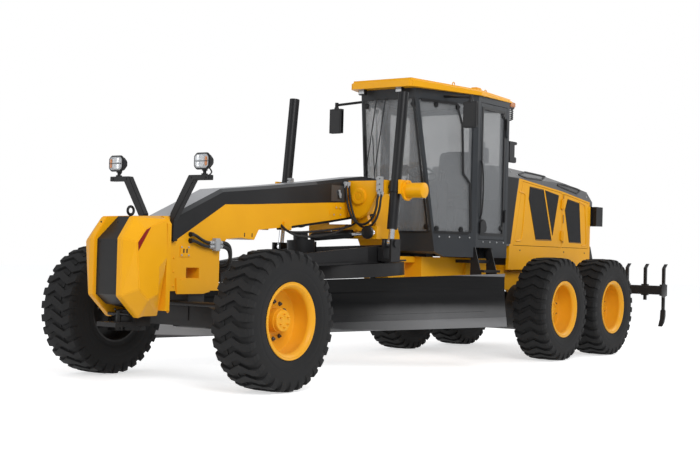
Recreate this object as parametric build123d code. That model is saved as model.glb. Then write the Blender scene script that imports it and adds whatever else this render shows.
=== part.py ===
"""Articulated motor grader: rear frame with cab and hood, front frame, drawbar, circle, blade and ripper.

Millimetres. X forward, Y left, Z up. X is measured from the middle of the tandem while the pieces
are modelled, and moved on export so that X = 0 is half way along the machine.
"""
from build123d import *
from math import cos, hypot, radians, sin
import os

# ---------------------------------------------------------------- driving dimensions
WHEELBASE = 6256          # front axle to the middle of the tandem
TANDEM_SPACING = 1470     # tandem front axle to tandem rear axle
TRACK = 2228              # between the middles of the left and right tyres
TYRE_R = 648              # over the lugs; also the hub height
TYRE_W = 440
TYRE_WALL = 34
RIM_SEAT_R = 317
RIM_FLANGE_R = 355
RIM_HALF_W = 193
RIM_T = 13
SEAT_GAP = 0.3            # between a tyre and its rim
PIN_GAP = 0.4             # radial gap of a pin or shaft in its bore
RUN_GAP = 6               # between pieces that move past each other
FRAME_HALF_W = 170        # goose neck
HOOD_HALF_W = 520
PANEL_T = 40              # hood panels and doors
CAB_HALF_W = 700
CAB_WALL = 60
DOOR_T = 46
GLASS_T = 12
DOOR_GAP = 6
ART_X = 2650              # articulation axis
CAB_TOP_Z = 3230          # head of the cab frame, under the roof
ROOF_T = 105
LEAN_Y = 775              # lean pivots, fore and aft pins
LEAN_Z = 600
KINGPIN_Y = 900
LIFT_Y = 760              # planes of the two lift cylinders
LIFT_TRUNNION = (3795, 2010)
LIFT_TILT = 6.2           # degrees from the vertical
BARREL_R = 57.5
ROD_R = 32
BALL_BACK = 406           # drawbar ball behind the front axle
BALL_Z = 1050
DRAWBAR_PITCH = 2.5       # rear end up
DRAWBAR_ROLL = 2.3        # left side up
CIRCLE_X = 3878           # circle centre, on the drawbar's own line
RING_TOP = 15             # ring top above the ball
RING_R = 800
RING_DEPTH = 140
BLADE_TURN = 35.7         # right end forward
BLADE_L = 3965
BLADE_SHIFT = -81         # rest side shift of the blade, to the left is positive
RIPPER_PIVOT = (-1900, 860)

TREAD_BARS = 30
LUG_H = 28                # tread bars above the casing

HUB_Z = TYRE_R
HALF_TRACK = TRACK / 2
FRONT_X = WHEELBASE
BALL = (FRONT_X - BALL_BACK, 0, BALL_Z)
CIRCLE_BACK = BALL[0] - CIRCLE_X


# ---------------------------------------------------------------- small makers
def block(x0, x1, y0, y1, z0, z1):
    return Pos((x0 + x1) / 2, (y0 + y1) / 2, (z0 + z1) / 2) * Box(x1 - x0, y1 - y0, z1 - z0)


def outline(points):
    return make_face(Polyline(*points, close=True))


def side_prism(points, y0, y1):
    """An X-Z outline between two Y planes."""
    return extrude(Plane.XZ.offset(-y1) * outline(points), y1 - y0)


def front_prism(points, x0, x1):
    """A Y-Z outline between two X planes."""
    return extrude(Plane.YZ.offset(x0) * outline(points), x1 - x0)


def plan_prism(points, z0, z1):
    return extrude(Plane.XY.offset(z0) * outline(points), z1 - z0)


def rod(p, q, r):
    p, q = Vector(*p), Vector(*q)
    return Solid.make_cylinder(r, (q - p).length, Plane(origin=p, z_dir=q - p))


def mirrored(shape):
    return mirror(shape, about=Plane.XZ)


def both(shape):
    return [shape, mirrored(shape)]


def sided(shape, side):
    """The left-hand shape for side 1, its mirror image for side -1."""
    return shape if side > 0 else mirrored(shape)


def fused(shapes):
    whole = shapes[0]
    for shape in shapes[1:]:
        whole = whole + shape
    return whole


def common(a, b):
    """What two shapes share, as one shape."""
    return fused(list(a.intersect(b).solids()))


def shifted(points, x):
    """An X-Z outline moved along X."""
    return [(px + x, pz) for px, pz in points]


NODES = {}


def keep(name, *shapes):
    solids = []
    for shape in shapes:
        solids += list(shape.solids())
    NODES[name] = solids


# ---------------------------------------------------------------- wheels
HUB_R = 110
SPINDLE_R = 50


def wheel_ring(points):
    """Revolve a (Y, radius) outline about the wheel axle."""
    return revolve(Plane.YZ * outline(points), Axis.Y, 360)


# centre line of a tread bar seen from above: share of the tyre's half width, place along the tread
BAR_LINE = [(-0.995, 0), (-0.50, 30), (0.30, -26), (0.995, 16)]
BAR_HALF = 34


def tread_bar():
    """One wavy bar right across the tread, its top flat and its ends wrapped over the shoulders."""
    half, crown = TYRE_W / 2, TYRE_R - LUG_H
    centre = [(share * half, along) for share, along in BAR_LINE]
    plan = [(along - BAR_HALF, y) for y, along in centre] + [(along + BAR_HALF, y) for y,
                                                             along in centre[::-1]]
    section = [(half - 14, crown - 80), (half - 3, crown - 20), (half - 30, TYRE_R), (-(half - 30), TYRE_R),
               (-(half - 3), crown - 20), (-(half - 14), crown - 80), (-(half - 60), crown - 20),
               (half - 60, crown - 20)]
    return common(plan_prism(plan, crown - 100, TYRE_R + 10), front_prism(section, -100, 100))


def tyre():
    seat = RIM_SEAT_R + SEAT_GAP
    bead = RIM_HALF_W - RIM_T - SEAT_GAP
    half, crown = TYRE_W / 2, TYRE_R - LUG_H
    outer = [(bead, seat), (bead, RIM_FLANGE_R), (half - 4, 440), (half - 4, 510), (half - 12, crown - 40),
             (half - 34, crown - 6), (half - 90, crown)]
    inner = [(half - 90 - TYRE_WALL, crown - TYRE_WALL), (half - 12 - TYRE_WALL, crown - 60),
             (half - 4 - TYRE_WALL, 450), (bead - TYRE_WALL, RIM_FLANGE_R), (bead - TYRE_WALL, seat)]
    casing = wheel_ring(outer + [(-y, r) for y, r in outer[::-1]] + [(-y, r) for y, r in inner[::-1]] + inner)
    bar = tread_bar()
    bars = [Rot(0, 360 / TREAD_BARS * i, 0) * bar for i in range(TREAD_BARS)]
    return casing + bars


def rim(disc_y, cap_y, bore_end):
    flange = RIM_HALF_W - RIM_T
    barrel_in = RIM_SEAT_R - RIM_T
    outer = [(-RIM_HALF_W, barrel_in), (-RIM_HALF_W, RIM_FLANGE_R), (-flange, RIM_FLANGE_R),
             (-flange, RIM_SEAT_R), (flange, RIM_SEAT_R), (flange, RIM_FLANGE_R),
             (RIM_HALF_W, RIM_FLANGE_R), (RIM_HALF_W, barrel_in)]
    barrel = wheel_ring(outer)
    disc = wheel_ring([(disc_y, 0), (disc_y, barrel_in + 1), (disc_y + 18, barrel_in + 1), (disc_y + 18, 0)])
    hub = wheel_ring([(disc_y - 60, 0), (disc_y - 60, HUB_R), (cap_y - 40, HUB_R), (cap_y, HUB_R - 40),
                      (cap_y, 0)])
    bore = wheel_ring([(disc_y - 70, 0), (disc_y - 70, SPINDLE_R + PIN_GAP),
                       (bore_end, SPINDLE_R + PIN_GAP), (bore_end, 0)])
    return barrel + disc + hub - bore


def place_wheel(shape, x, side):
    return Pos(x, side * HALF_TRACK, HUB_Z) * sided(shape, side)


WHEELS = [  # name, X, side, disc plane, cap end, spindle end: measured outward from the middle of the tyre
    ("front_left", FRONT_X, 1, -30, 110, 40), ("front_right", FRONT_X, -1, -30, 110, 40),
    ("tandem_front_left", TANDEM_SPACING / 2, 1, -50, 40, 0),
    ("tandem_front_right", TANDEM_SPACING / 2, -1, -50, 40, 0),
    ("tandem_rear_left", -TANDEM_SPACING / 2, 1, -50, 40, 0),
    ("tandem_rear_right", -TANDEM_SPACING / 2, -1, -50, 40, 0)]


def wheels():
    rubber = tyre()
    for name, x, side, disc_y, cap_y, bore_end in WHEELS:
        keep("tyre_" + name, place_wheel(rubber, x, side))
        keep("rim_" + name, place_wheel(rim(disc_y, cap_y, bore_end), x, side))


# ---------------------------------------------------------------- hinges
HINGE_PIN_R = 7
HINGE_OUT = 15            # hinge axis outside the panel's face
HINGE_H = 60


def hinge(x, face_y, z, toward):
    """Fixed lug with pin, and sleeve with its web, for a door that runs toward +X or -X from x."""
    y = face_y + HINGE_OUT
    lug_x = sorted((x - toward * 26, x - toward * 10))
    arm_x = sorted((x - toward * 26, x + toward * 8))
    lug = None
    for low in (z - HINGE_H - 12, z + HINGE_H + 2):
        piece = block(*lug_x, face_y, y + 8, low, low + 10) + block(*arm_x, y - 8, y + 8, low, low + 10)
        lug = piece if lug is None else lug + piece
    lug = lug + rod((x, y, z - HINGE_H - 12), (x, y, z + HINGE_H + 12), HINGE_PIN_R)
    web_x = sorted((x, x + toward * 24))
    sleeve = rod((x, y, z - HINGE_H), (x, y, z + HINGE_H), HINGE_PIN_R + 5)
    sleeve = sleeve + block(*web_x, face_y, y + 6, z - HINGE_H, z + HINGE_H)
    sleeve = sleeve - rod((x, y, z - 80), (x, y, z + 80), HINGE_PIN_R + PIN_GAP)
    return lug, sleeve


# ---------------------------------------------------------------- rear frame
RAIL_Y = (330, 430)
RAIL_Z = (860, 1120)
REAR_X = -1750
CAB_FLOOR_Z = 1270
FORK_R = 150
FORK_Z = (800, 1260)
FORK_T = 70
ART_PIN_R = 55
TANDEM_Y = (620, 860)
TANDEM_END_R = 290
AXLE_R = 165
BACK_PLATE_T = 20
RIPPER_FOOT_Z = 780
RIPPER_EAR_R = 60
RIPPER_LUG_T = 25


def rear_chassis():
    rail = side_prism([(REAR_X, RAIL_Z[0]), (REAR_X, RAIL_Z[1]), (900, RAIL_Z[1]), (1150, FORK_Z[1]),
                       (1700, FORK_Z[1]), (1700, FORK_Z[0]), (700, RAIL_Z[0])], *RAIL_Y)
    pedestal = side_prism([(-420, RAIL_Z[0]), (-230, HUB_Z + 90), (230, HUB_Z + 90), (520, RAIL_Z[0])],
                          *RAIL_Y)
    nose = plan_prism([(1500, -RAIL_Y[1]), (1500, RAIL_Y[1]), (2420, 240), (2420, -240)], *FORK_Z)
    nose = nose - plan_prism([(1600, -330), (1600, 330), (2340, 160), (2340, -160)], FORK_Z[0]
                             + 60, FORK_Z[1] - 60)
    parts = [nose] + both(rail + pedestal)
    for x in (REAR_X, -700, 700):
        parts.append(block(x, x + 90, -RAIL_Y[0], RAIL_Y[0], RAIL_Z[0], RAIL_Z[1]))
    for z0 in (FORK_Z[0], FORK_Z[1] - FORK_T):
        parts.append(block(2400, ART_X, -FORK_R, FORK_R, z0, z0 + FORK_T))
        parts.append(rod((ART_X, 0, z0), (ART_X, 0, z0 + FORK_T), FORK_R))
    parts.append(rod((ART_X, 0, FORK_Z[0]), (ART_X, 0, FORK_Z[1]), ART_PIN_R))
    px, pz = RIPPER_PIVOT
    tx, tz = RIPPER_CYL_BASE
    back = REAR_X + BACK_PLATE_T
    ear = [(back, RIPPER_FOOT_Z), (back, RAIL_Z[1]), (tx + 40, tz + RIPPER_EAR_R),
           (tx - RIPPER_EAR_R, tz + RIPPER_EAR_R),
           (tx - RIPPER_EAR_R, tz - RIPPER_EAR_R), (px - 70, pz - 70), (px - 40, RIPPER_FOOT_Z)]
    parts += both(side_prism(ear, RIPPER_EAR_Y, RIPPER_EAR_Y + RIPPER_EAR_T))
    lug = [(back, tz - 130), (back, tz + RIPPER_EAR_R), (tx - RIPPER_EAR_R, tz + RIPPER_EAR_R),
           (tx - RIPPER_EAR_R, tz - RIPPER_EAR_R)]
    lug_y = RIPPER_CYL_W / 2 + RUN_GAP
    parts += both(side_prism(lug, lug_y, lug_y + RIPPER_LUG_T))
    parts.append(block(REAR_X, back, -420, 420, RIPPER_FOOT_Z, tz + RIPPER_EAR_R))
    arm_in = RIPPER_EAR_Y - RIPPER_ARM_T - RUN_GAP
    parts += both(rod((px, arm_in, pz), (px, RIPPER_EAR_Y + RIPPER_EAR_T, pz), RIPPER_PIN_R))
    parts.append(rod((tx, -lug_y - 10, tz), (tx, lug_y + 10, tz), RIPPER_PIN_R))
    return fused(parts)


def rear_axle():
    half = TANDEM_SPACING / 2
    case = block(-half, half, *TANDEM_Y, HUB_Z - TANDEM_END_R, HUB_Z + TANDEM_END_R)
    parts = [case]
    for x in (-half, half):
        parts.append(rod((x, TANDEM_Y[0], HUB_Z), (x, TANDEM_Y[1], HUB_Z), TANDEM_END_R))
        parts.append(rod((x, TANDEM_Y[1], HUB_Z), (x, HALF_TRACK - 2, HUB_Z), SPINDLE_R))
        parts.append(rod((x, TANDEM_Y[1], HUB_Z), (x, TANDEM_Y[1] + 30, HUB_Z), 150))
    side = fused(parts)
    tube = rod((0, -TANDEM_Y[0], HUB_Z - 80), (0, TANDEM_Y[0], HUB_Z - 80), AXLE_R)
    centre = rod((0, -250, HUB_Z - 80), (0, 250, HUB_Z - 80), 255)
    seats = [block(-230, 230, y0, y1, HUB_Z, HUB_Z + 90) for y0, y1 in (RAIL_Y, (-RAIL_Y[1], -RAIL_Y[0]))]
    return fused([tube, centre, side, mirrored(side)] + seats)


# ---------------------------------------------------------------- hood
HOOD_SIDE = [(774, 1125), (757, 1431), (524, 2321), (-754, 2217), (-1629, 2110), (-1660, 1125)]
COWL_SIDE = [(1090, 1431), (1090, 2452), (773, 2446), (-240, 2396), (-1514, 2251), (-1713, 2114),
             (-1713, 2050),
             (-1660, 2050), (-1629, 2110), (-754, 2217), (524, 2321), (757, 1431)]
HOOD_BAR_H = 61
DOOR_SILL_Z = 1445
POST_X = -740             # post between the hood doors, with the hinges of both
HOOD_HINGE_Z = (1600, 2040)
FRONT_DOOR = [(POST_X + 15, DOOR_SILL_Z), (640, DOOR_SILL_Z), (422, 2283), (POST_X + 15, 2190)]
REAR_DOOR = [(POST_X - 15, DOOR_SILL_Z), (POST_X - 15, 2174), (POST_X - 120, 2174), (-1585, 2088),
             (-1585, DOOR_SILL_Z)]


def grown(points, gap):
    """The outline of a convex polygon moved outward by a gap."""
    wire = Polyline(*points, close=True)
    face = offset(make_face(wire), amount=gap, kind=Kind.INTERSECTION)
    return face


def hood_shell():
    side = side_prism(HOOD_SIDE, HOOD_HALF_W - PANEL_T, HOOD_HALF_W)
    for door in (FRONT_DOOR, REAR_DOOR):
        hole = extrude(Plane.XZ.offset(-HOOD_HALF_W - 10) * grown(door, DOOR_GAP), PANEL_T + 20)
        side = side - hole
    for x, toward in ((POST_X + 18, 1), (POST_X - 18, -1)):
        for z in HOOD_HINGE_Z:
            side = side + hinge(x, HOOD_HALF_W, z, toward)[0]
    rear = block(-1660, -1660 + PANEL_T, -HOOD_HALF_W, HOOD_HALF_W, 1125, 2050)
    rear = rear - block(-1700, -1600, -360, 360, 1300, 1980)
    sill = RAIL_Z[1] + SEAT_GAP
    floor_bars = [block(x, x + 60, -HOOD_HALF_W, HOOD_HALF_W, sill, sill + HOOD_BAR_H) for x in (-1600, 640)]
    return fused(both(side) + [rear] + floor_bars)


def hood_cowl():
    body = side_prism(COWL_SIDE, -HOOD_HALF_W, HOOD_HALF_W)
    shoulders = front_prism([(-HOOD_HALF_W, 1400), (HOOD_HALF_W, 1400), (HOOD_HALF_W, 2330),
                             (HOOD_HALF_W - 90, 2500),
                             (-HOOD_HALF_W + 90, 2500), (-HOOD_HALF_W, 2330)], -1800, 1200)
    body = common(body, shoulders)
    inner = side_prism([(1090 - PANEL_T, 1400), (1090 - PANEL_T, 2400), (773, 2400), (-240, 2350),
                        (-1500, 2205),
                        (-1640, 2080), (-1640, 1900), (800, 1400)], -HOOD_HALF_W
                        + PANEL_T, HOOD_HALF_W - PANEL_T)
    return body - inner


def exhaust():
    stack = rod((210, -250, 2400), (210, -250, 2840), 60)
    bowl = rod((210, -250, 2560), (210, -250, 2760), 110)
    return (stack + bowl) - side_prism(COWL_SIDE, -HOOD_HALF_W, HOOD_HALF_W)


def hood_grille():
    frame = block(-1690, -1660, -360, 360, 1300, 1980)
    for i in range(9):
        z = 1340 + i * 68
        frame = frame - block(-1700, -1650, -330, 330, z, z + 36)
    lamp = block(-1930, -1713, 400, 590, 1770, 2050)
    lamp = lamp + block(-1713, -1660, 420, 520, 1800, 2000)
    return [frame] + both(lamp)


def hood_door(points, side):
    panel = side_prism(points, HOOD_HALF_W - PANEL_T, HOOD_HALF_W)
    toward = 1 if points is FRONT_DOOR else -1
    for z in HOOD_HINGE_Z:
        panel = panel + hinge(POST_X + toward * 18, HOOD_HALF_W, z, toward)[1]
    return sided(panel, side)


# ---------------------------------------------------------------- cab
CAB_REAR_X = 1160
B_POST_X = 1934
CAB_FRONT = ((2582, 480, 1540), (2868, 387, 3200))     # foot and head of the left front corner
SKIRT_TOP_Z = 1490
GLASS_Z = (SKIRT_TOP_Z + 70, CAB_TOP_Z - 120)
CAB_DOOR_X = (1235, 1876)
CAB_DOOR_Z = (SKIRT_TOP_Z + DOOR_GAP, CAB_TOP_Z - 80)
CAB_HINGE_Z = (CAB_DOOR_Z[0] + 304, CAB_DOOR_Z[1] - 300)
CORNER_W = 26             # glazed front corner: the post's width beside each pane


def front_x(z):
    (x0, _, z0), (x1, _, z1) = CAB_FRONT
    return x0 + (z - z0) * (x1 - x0) / (z1 - z0)


def corner_y(z):
    """Y of the left front corner at a height."""
    (_, y0, z0), (_, y1, z1) = CAB_FRONT
    return y0 + (z - z0) * (y1 - y0) / (z1 - z0)


def quarter_y(x):
    """Y of the quarter panel's outer face, on its line between the two front corners and the B post."""
    x1, y1, _ = CAB_FRONT[1]
    return CAB_HALF_W + (x - B_POST_X) * (y1 - CAB_HALF_W) / (x1 - B_POST_X)


def cab_volume(inset, z0, z1):
    far = 3400
    plan = [(CAB_REAR_X + inset, -CAB_HALF_W + inset), (B_POST_X, -CAB_HALF_W + inset),
            (far, -quarter_y(far) + inset), (far, quarter_y(far) - inset),
            (B_POST_X, CAB_HALF_W - inset), (CAB_REAR_X + inset, CAB_HALF_W - inset)]
    body = plan_prism(plan, z0, z1)
    cut = side_prism([(front_x(1000) - inset, 1000), (front_x(3600) - inset, 3600), (4000, 3600),
                      (4000, 1000)],
                     -900, 900)
    return body - cut


def door_hole(gap):
    x0, x1 = CAB_DOOR_X
    z0, z1 = CAB_DOOR_Z
    return block(x0 - gap, x1 + gap, -CAB_HALF_W - 50, CAB_HALF_W + 50, z0 - gap, z1 + gap)


def window_cutters():
    low, high = GLASS_Z
    half = [corner_y(z) - CORNER_W for z in GLASS_Z]
    edge = [front_x(z) - CORNER_W for z in GLASS_Z]
    front = front_prism([(-half[0], low), (half[0], low), (half[1], high), (-half[1], high)], edge[0] - 280,
                        edge[1] + 280)
    back = B_POST_X + 76
    quarter = side_prism([(back, low), (edge[0] - 10, low), (edge[1] - 10, high), (back, high)], -900, 900)
    rear = block(CAB_REAR_X - 20, CAB_REAR_X + CAB_WALL + 20, -600, 600, 2000, high)
    return [front, quarter, rear]


def cab_frame():
    shell = cab_volume(0, SKIRT_TOP_Z, CAB_TOP_Z) - cab_volume(CAB_WALL, SKIRT_TOP_Z - 10, CAB_TOP_Z - 50)
    shell = shell - door_hole(DOOR_GAP)
    for cutter in window_cutters():
        shell = shell - cutter
    for z in CAB_HINGE_Z:
        shell = fused([shell] + both(hinge(CAB_DOOR_X[0] + 3, CAB_HALF_W, z, 1)[0]))
    return shell


def cab_glass():
    pane = cab_volume(20, GLASS_Z[0], GLASS_Z[1]) - cab_volume(20 + GLASS_T, GLASS_Z[0] - 1, GLASS_Z[1] + 1)
    pieces = []
    for cutter in window_cutters():
        pieces += list(pane.intersect(cutter).solids())
    return pieces


def cab_roof():
    plan = [(1075, -700), (1075, 700), (B_POST_X, 735), (3030, 430), (3030, -430), (B_POST_X, -735)]
    slab = plan_prism(plan, CAB_TOP_Z, CAB_TOP_Z + ROOF_T)
    above = CAB_TOP_Z + ROOF_T + 100
    trim = side_prism([(1000, CAB_TOP_Z + 45), (1000, above), (3200, above), (3200, CAB_TOP_Z + ROOF_T + 5),
                       (2990, CAB_TOP_Z + ROOF_T - 5)], -800, 800)
    return slab - trim


LADDER_X = (1545, 1946)
LADDER_TOP_Z = CAB_FLOOR_Z + 120
LADDER_STEPS = ((470, 780), (780, 730), (1090, 680))     # height and inner Y of each step
LADDER_SIDE_T = 16


def cab_base():
    plate = cab_volume(0, CAB_FLOOR_Z, SKIRT_TOP_Z)
    inner = cab_volume(CAB_WALL, CAB_FLOOR_Z - 10, SKIRT_TOP_Z - 60)
    base = plate - inner
    corner = side_prism([(2415, 1200), (2415, 1273), (2560, 1334), (2700, 1400), (2700, 1200)], -900, 900)
    ladder_gap = block(LADDER_X[0] - 20, LADDER_X[1] + 20, -900, 900, CAB_FLOOR_Z - 20, LADDER_TOP_Z)
    base = base - corner - ladder_gap
    for x, y0, y1 in ((1250, *RAIL_Y), (2200, 150, 240)):
        base = fused([base] + both(block(x, x + 120, y0, y1, FORK_Z[1], SKIRT_TOP_Z - 60)))
    return base


def cab_door(side):
    x0, x1 = CAB_DOOR_X
    z0, z1 = CAB_DOOR_Z
    frame = block(x0, x1, CAB_HALF_W - DOOR_T, CAB_HALF_W, z0, z1)
    frame = frame - block(x0 + 45, x1 - 45, CAB_HALF_W - 90, CAB_HALF_W + 10, z0 + 60, z1 - 60)
    for z in CAB_HINGE_Z:
        frame = frame + hinge(x0 + 3, CAB_HALF_W, z, 1)[1]
    glass = block(x0 + 45, x1 - 45, CAB_HALF_W - 28, CAB_HALF_W - 16, z0 + 60, z1 - 60)
    return sided(frame, side), sided(glass, side)


def cab_ladder():
    inner, low = CAB_HALF_W - 60, LADDER_STEPS[0][0] - 30
    side = front_prism([(inner, LADDER_TOP_Z), (CAB_HALF_W, LADDER_TOP_Z), (940, low + 100), (940, low),
                        (760, low),
                        (inner, 900)], 0, LADDER_SIDE_T)
    parts = [Pos(x, 0, 0) * side for x in (LADDER_X[0], LADDER_X[1] - LADDER_SIDE_T)]
    for z, y in LADDER_STEPS:
        parts.append(block(LADDER_X[0], LADDER_X[1], y, y + 150, z, z + 30))
    parts.append(block(LADDER_X[0], LADDER_X[1], RAIL_Y[1], CAB_HALF_W - 20, 1200, 1240))
    return fused(parts)


MIRROR_AT = (2577, 965)


def mirror_arm():
    start_x, z = 2440, CAB_TOP_Z - 60
    x, y = MIRROR_AT
    arm = rod((start_x, quarter_y(start_x) - 40, z), (x, y, z - 50), 16)
    arm = arm + rod((x, y, z - 20), (x, y, z - 110), 22)
    head = block(x - 27, x + 23, y - 90, y + 90, z - 400, z - 100)
    return (arm - cab_volume(0, SKIRT_TOP_Z, CAB_TOP_Z)) + head


def operator_station():
    pedestal = block(1300, 1620, -200, 200, SKIRT_TOP_Z, 1880)
    cushion = block(1270, 1760, -260, 260, 1880, 2000)
    back = side_prism([(1270, 2000), (1400, 2000), (1290, 2620), (1225, 2620)], -240, 240)
    seat = pedestal + cushion + back
    column = rod((2250, 0, SKIRT_TOP_Z - 5), (2095, 0, 2260), 70) - block(2000, 2500, -200, 200, 1400,
                                                                          SKIRT_TOP_Z)
    wheel = Pos(2085, 0, 2290) * (Rot(0, -25, 0) * (Cylinder(200, 30) - Cylinder(165, 40)
                                                    + Box(30, 360, 20) + Cylinder(60, 90)))
    return [seat, column + wheel]


# ---------------------------------------------------------------- front frame
NECK_SPLIT_X = FRONT_X - 391      # weld between the neck and the column
NECK_JOINT_X = ART_X + 650        # weld between the neck and its rear end
NOSE_X = FRONT_X + 576            # front face of the column's plate
# X from the front axle
COLUMN_SIDE = shifted([(-291, 880), (-291, 1290), (-391, 1385), (-391, 1880), (-318, 1872), (384, 1578),
                       (524, 1560),
                       (524, 880)], FRONT_X)
# X from the front weld, except near the saddle
NECK_LOW = shifted([(0, 1385), (-215, 1403), (-415, 1385), (-483, 1489), (-789, 1518)], NECK_SPLIT_X)
NECK_LOW += [(4110, 1640), (3752, 1689), (NECK_JOINT_X, 1745)]
NECK_HIGH = [(NECK_JOINT_X, 2143), (NECK_JOINT_X + 249, 2151), (4410, 2040), (NECK_SPLIT_X - 627, 1944),
             (NECK_SPLIT_X, 1880)]
NECK_SIDE = NECK_LOW + NECK_HIGH
# X from the articulation axis
NECK_REAR_SIDE = shifted([(650, 2143), (410, 2080), (160, 1600), (140, 1290), (162, 1270), (162, 790),
                          (290, 790), (370, 950),
                          (390, 1240), (520, 1450), (650, 1600)], ART_X)


def neck_rear():
    body = side_prism(NECK_REAR_SIDE, -FRAME_HALF_W, FRAME_HALF_W)
    low, high = FORK_Z[0] + FORK_T + RUN_GAP, FORK_Z[1] - FORK_T - RUN_GAP
    link = block(ART_X, ART_X + 180, -130, 130, low, high) + rod((ART_X, 0, low), (ART_X, 0, high), 130)
    return body + link - rod((ART_X, 0, 700), (ART_X, 0, 1400), ART_PIN_R + PIN_GAP)


NOSE_PLATE_T = 52


def front_column():
    body = side_prism(COLUMN_SIDE, -FRAME_HALF_W, FRAME_HALF_W)
    body = body - block(FRONT_X - 6, FRONT_X + 174, -300, 300, 1000, 1100)
    plate = front_prism([(-303, 705), (303, 705), (303, 1500), (240, 1572), (-240, 1572), (-303, 1500)],
                        NOSE_X - NOSE_PLATE_T, NOSE_X)
    socket = block(BALL[0] + 90, FRONT_X - 291, -110, 110, BALL[2] - 110, BALL[2] + 110)
    ball = Pos(*BALL) * Sphere(62) + rod(BALL, (BALL[0] + 120, 0, BALL[2]), 34)
    return fused([body, plate, socket, ball])


NOSE_HALF_W = 143


def nose_cheek():
    inner = [(470, 840), (470, 1357), (328, 1555), (0, 1572), (0, 655), (178, 655), (246, 640)]
    outer = [(404, 1325), (311, 1440), (33, 1540), (19, 1203), (116, 1080), (124, 865), (250, 808),
             (363, 907)]
    slab = side_prism(shifted(inner, NOSE_X), NOSE_HALF_W, NOSE_HALF_W + 72)
    pad = side_prism(shifted(outer, NOSE_X), NOSE_HALF_W + 71, NOSE_HALF_W + 187)
    return slab + pad


def nose_block():
    body = side_prism(shifted([(0, 700), (0, 1560), (188, 1560), (438, 1345), (438, 850), (318, 760)],
                              NOSE_X),
                      -NOSE_HALF_W, NOSE_HALF_W)
    eye_x, pin_x = NOSE_X + 173, NOSE_X + 283
    eye = Pos(eye_x, 0, 1612) * Rot(90, 0, 0) * Torus(38, 12) + rod((eye_x, 0, 1550), (eye_x, 0, 1590), 14)
    pin = rod((pin_x, 0, 560), (pin_x, 0, 700), 22) + rod((pin_x, -135, 669), (pin_x, 135, 669), 14)
    tow = block(NOSE_X + 188, NOSE_X + 438, -120, 120, 560, 600) + block(NOSE_X, NOSE_X
                                                                         + 208, -120, 120, 560, 705)
    return fused([body, eye, tow, pin])


LAMP_X = FRONT_X + 344


def head_lamp():
    post = block(LAMP_X, LAMP_X + 60, FRAME_HALF_W, FRAME_HALF_W + 45, 1358, 1570)
    slant = front_prism([(FRAME_HALF_W, 1540), (FRAME_HALF_W + 45, 1520), (429, 1895), (429, 1945),
                         (384, 1945)],
                        LAMP_X + 10, LAMP_X + 50)
    shelf = block(LAMP_X, LAMP_X + 60, 384, 625, 1915, 1955)
    lamp = block(LAMP_X - 10, LAMP_X + 90, 458, 652, 2002, 2157)
    lamp = lamp + block(LAMP_X + 15, LAMP_X + 45, 530, 580, 1950, 2010)
    return fused([post, slant, shelf, lamp])


AXLE_HALF_X = 100


def front_axle():
    x0, x1 = FRONT_X - AXLE_HALF_X, FRONT_X + AXLE_HALF_X
    end_y = LEAN_Y - 60
    beam = front_prism([(-end_y, 545), (end_y, 545), (end_y, 655), (300, 760), (-300, 760), (-end_y, 655)],
                       x0, x1)
    bracket = block(FRONT_X - 110, FRONT_X + 110, -150, 150, 600, 880)
    eye_x = 60
    end = block(FRONT_X - eye_x, FRONT_X + eye_x, end_y, LEAN_Y, LEAN_Z - 60, LEAN_Z + 60)
    end = end + rod((FRONT_X - eye_x, LEAN_Y, LEAN_Z), (FRONT_X + eye_x, LEAN_Y, LEAN_Z), 60)
    cut_y = LEAN_Y - 130
    beam_cut = block(x0 - 1, FRONT_X - eye_x, cut_y, LEAN_Y, 500, 800)
    beam_cut = beam_cut + block(FRONT_X + eye_x, x1 + 1, cut_y, LEAN_Y, 500, 800)
    pin = rod((FRONT_X - 112, LEAN_Y, LEAN_Z), (FRONT_X + 112, LEAN_Y, LEAN_Z), 28)
    side = end + pin
    steer_barrel = rod((STEER_X, -280, STEER_Z), (STEER_X, 280, STEER_Z), 55)
    hangers = [block(STEER_X, x0 + 10, y, y + 30, STEER_Z - 40, STEER_Z + 40) for y in (-230, 200)]
    whole = fused([beam - beam_cut - mirrored(beam_cut), bracket] + both(side) + [steer_barrel] + hangers)
    return whole - rod((STEER_X, -400, STEER_Z), (STEER_X, 400, STEER_Z), STEER_ROD_R + PIN_GAP)


STEER_X = FRONT_X - 200
STEER_Z = 560
STEER_ROD_R = 22
BAR_PIN = (150, 160)      # lean bar pin forward of and above the lean pivot
LEAN_PLATE_X = (66, 92)


def steer_rod():
    return fused([rod((STEER_X, -LEAN_Y, STEER_Z), (STEER_X, LEAN_Y, STEER_Z), STEER_ROD_R)]
                 + [Pos(STEER_X, y, STEER_Z) * Sphere(34) for y in (-LEAN_Y, LEAN_Y)])


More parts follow.
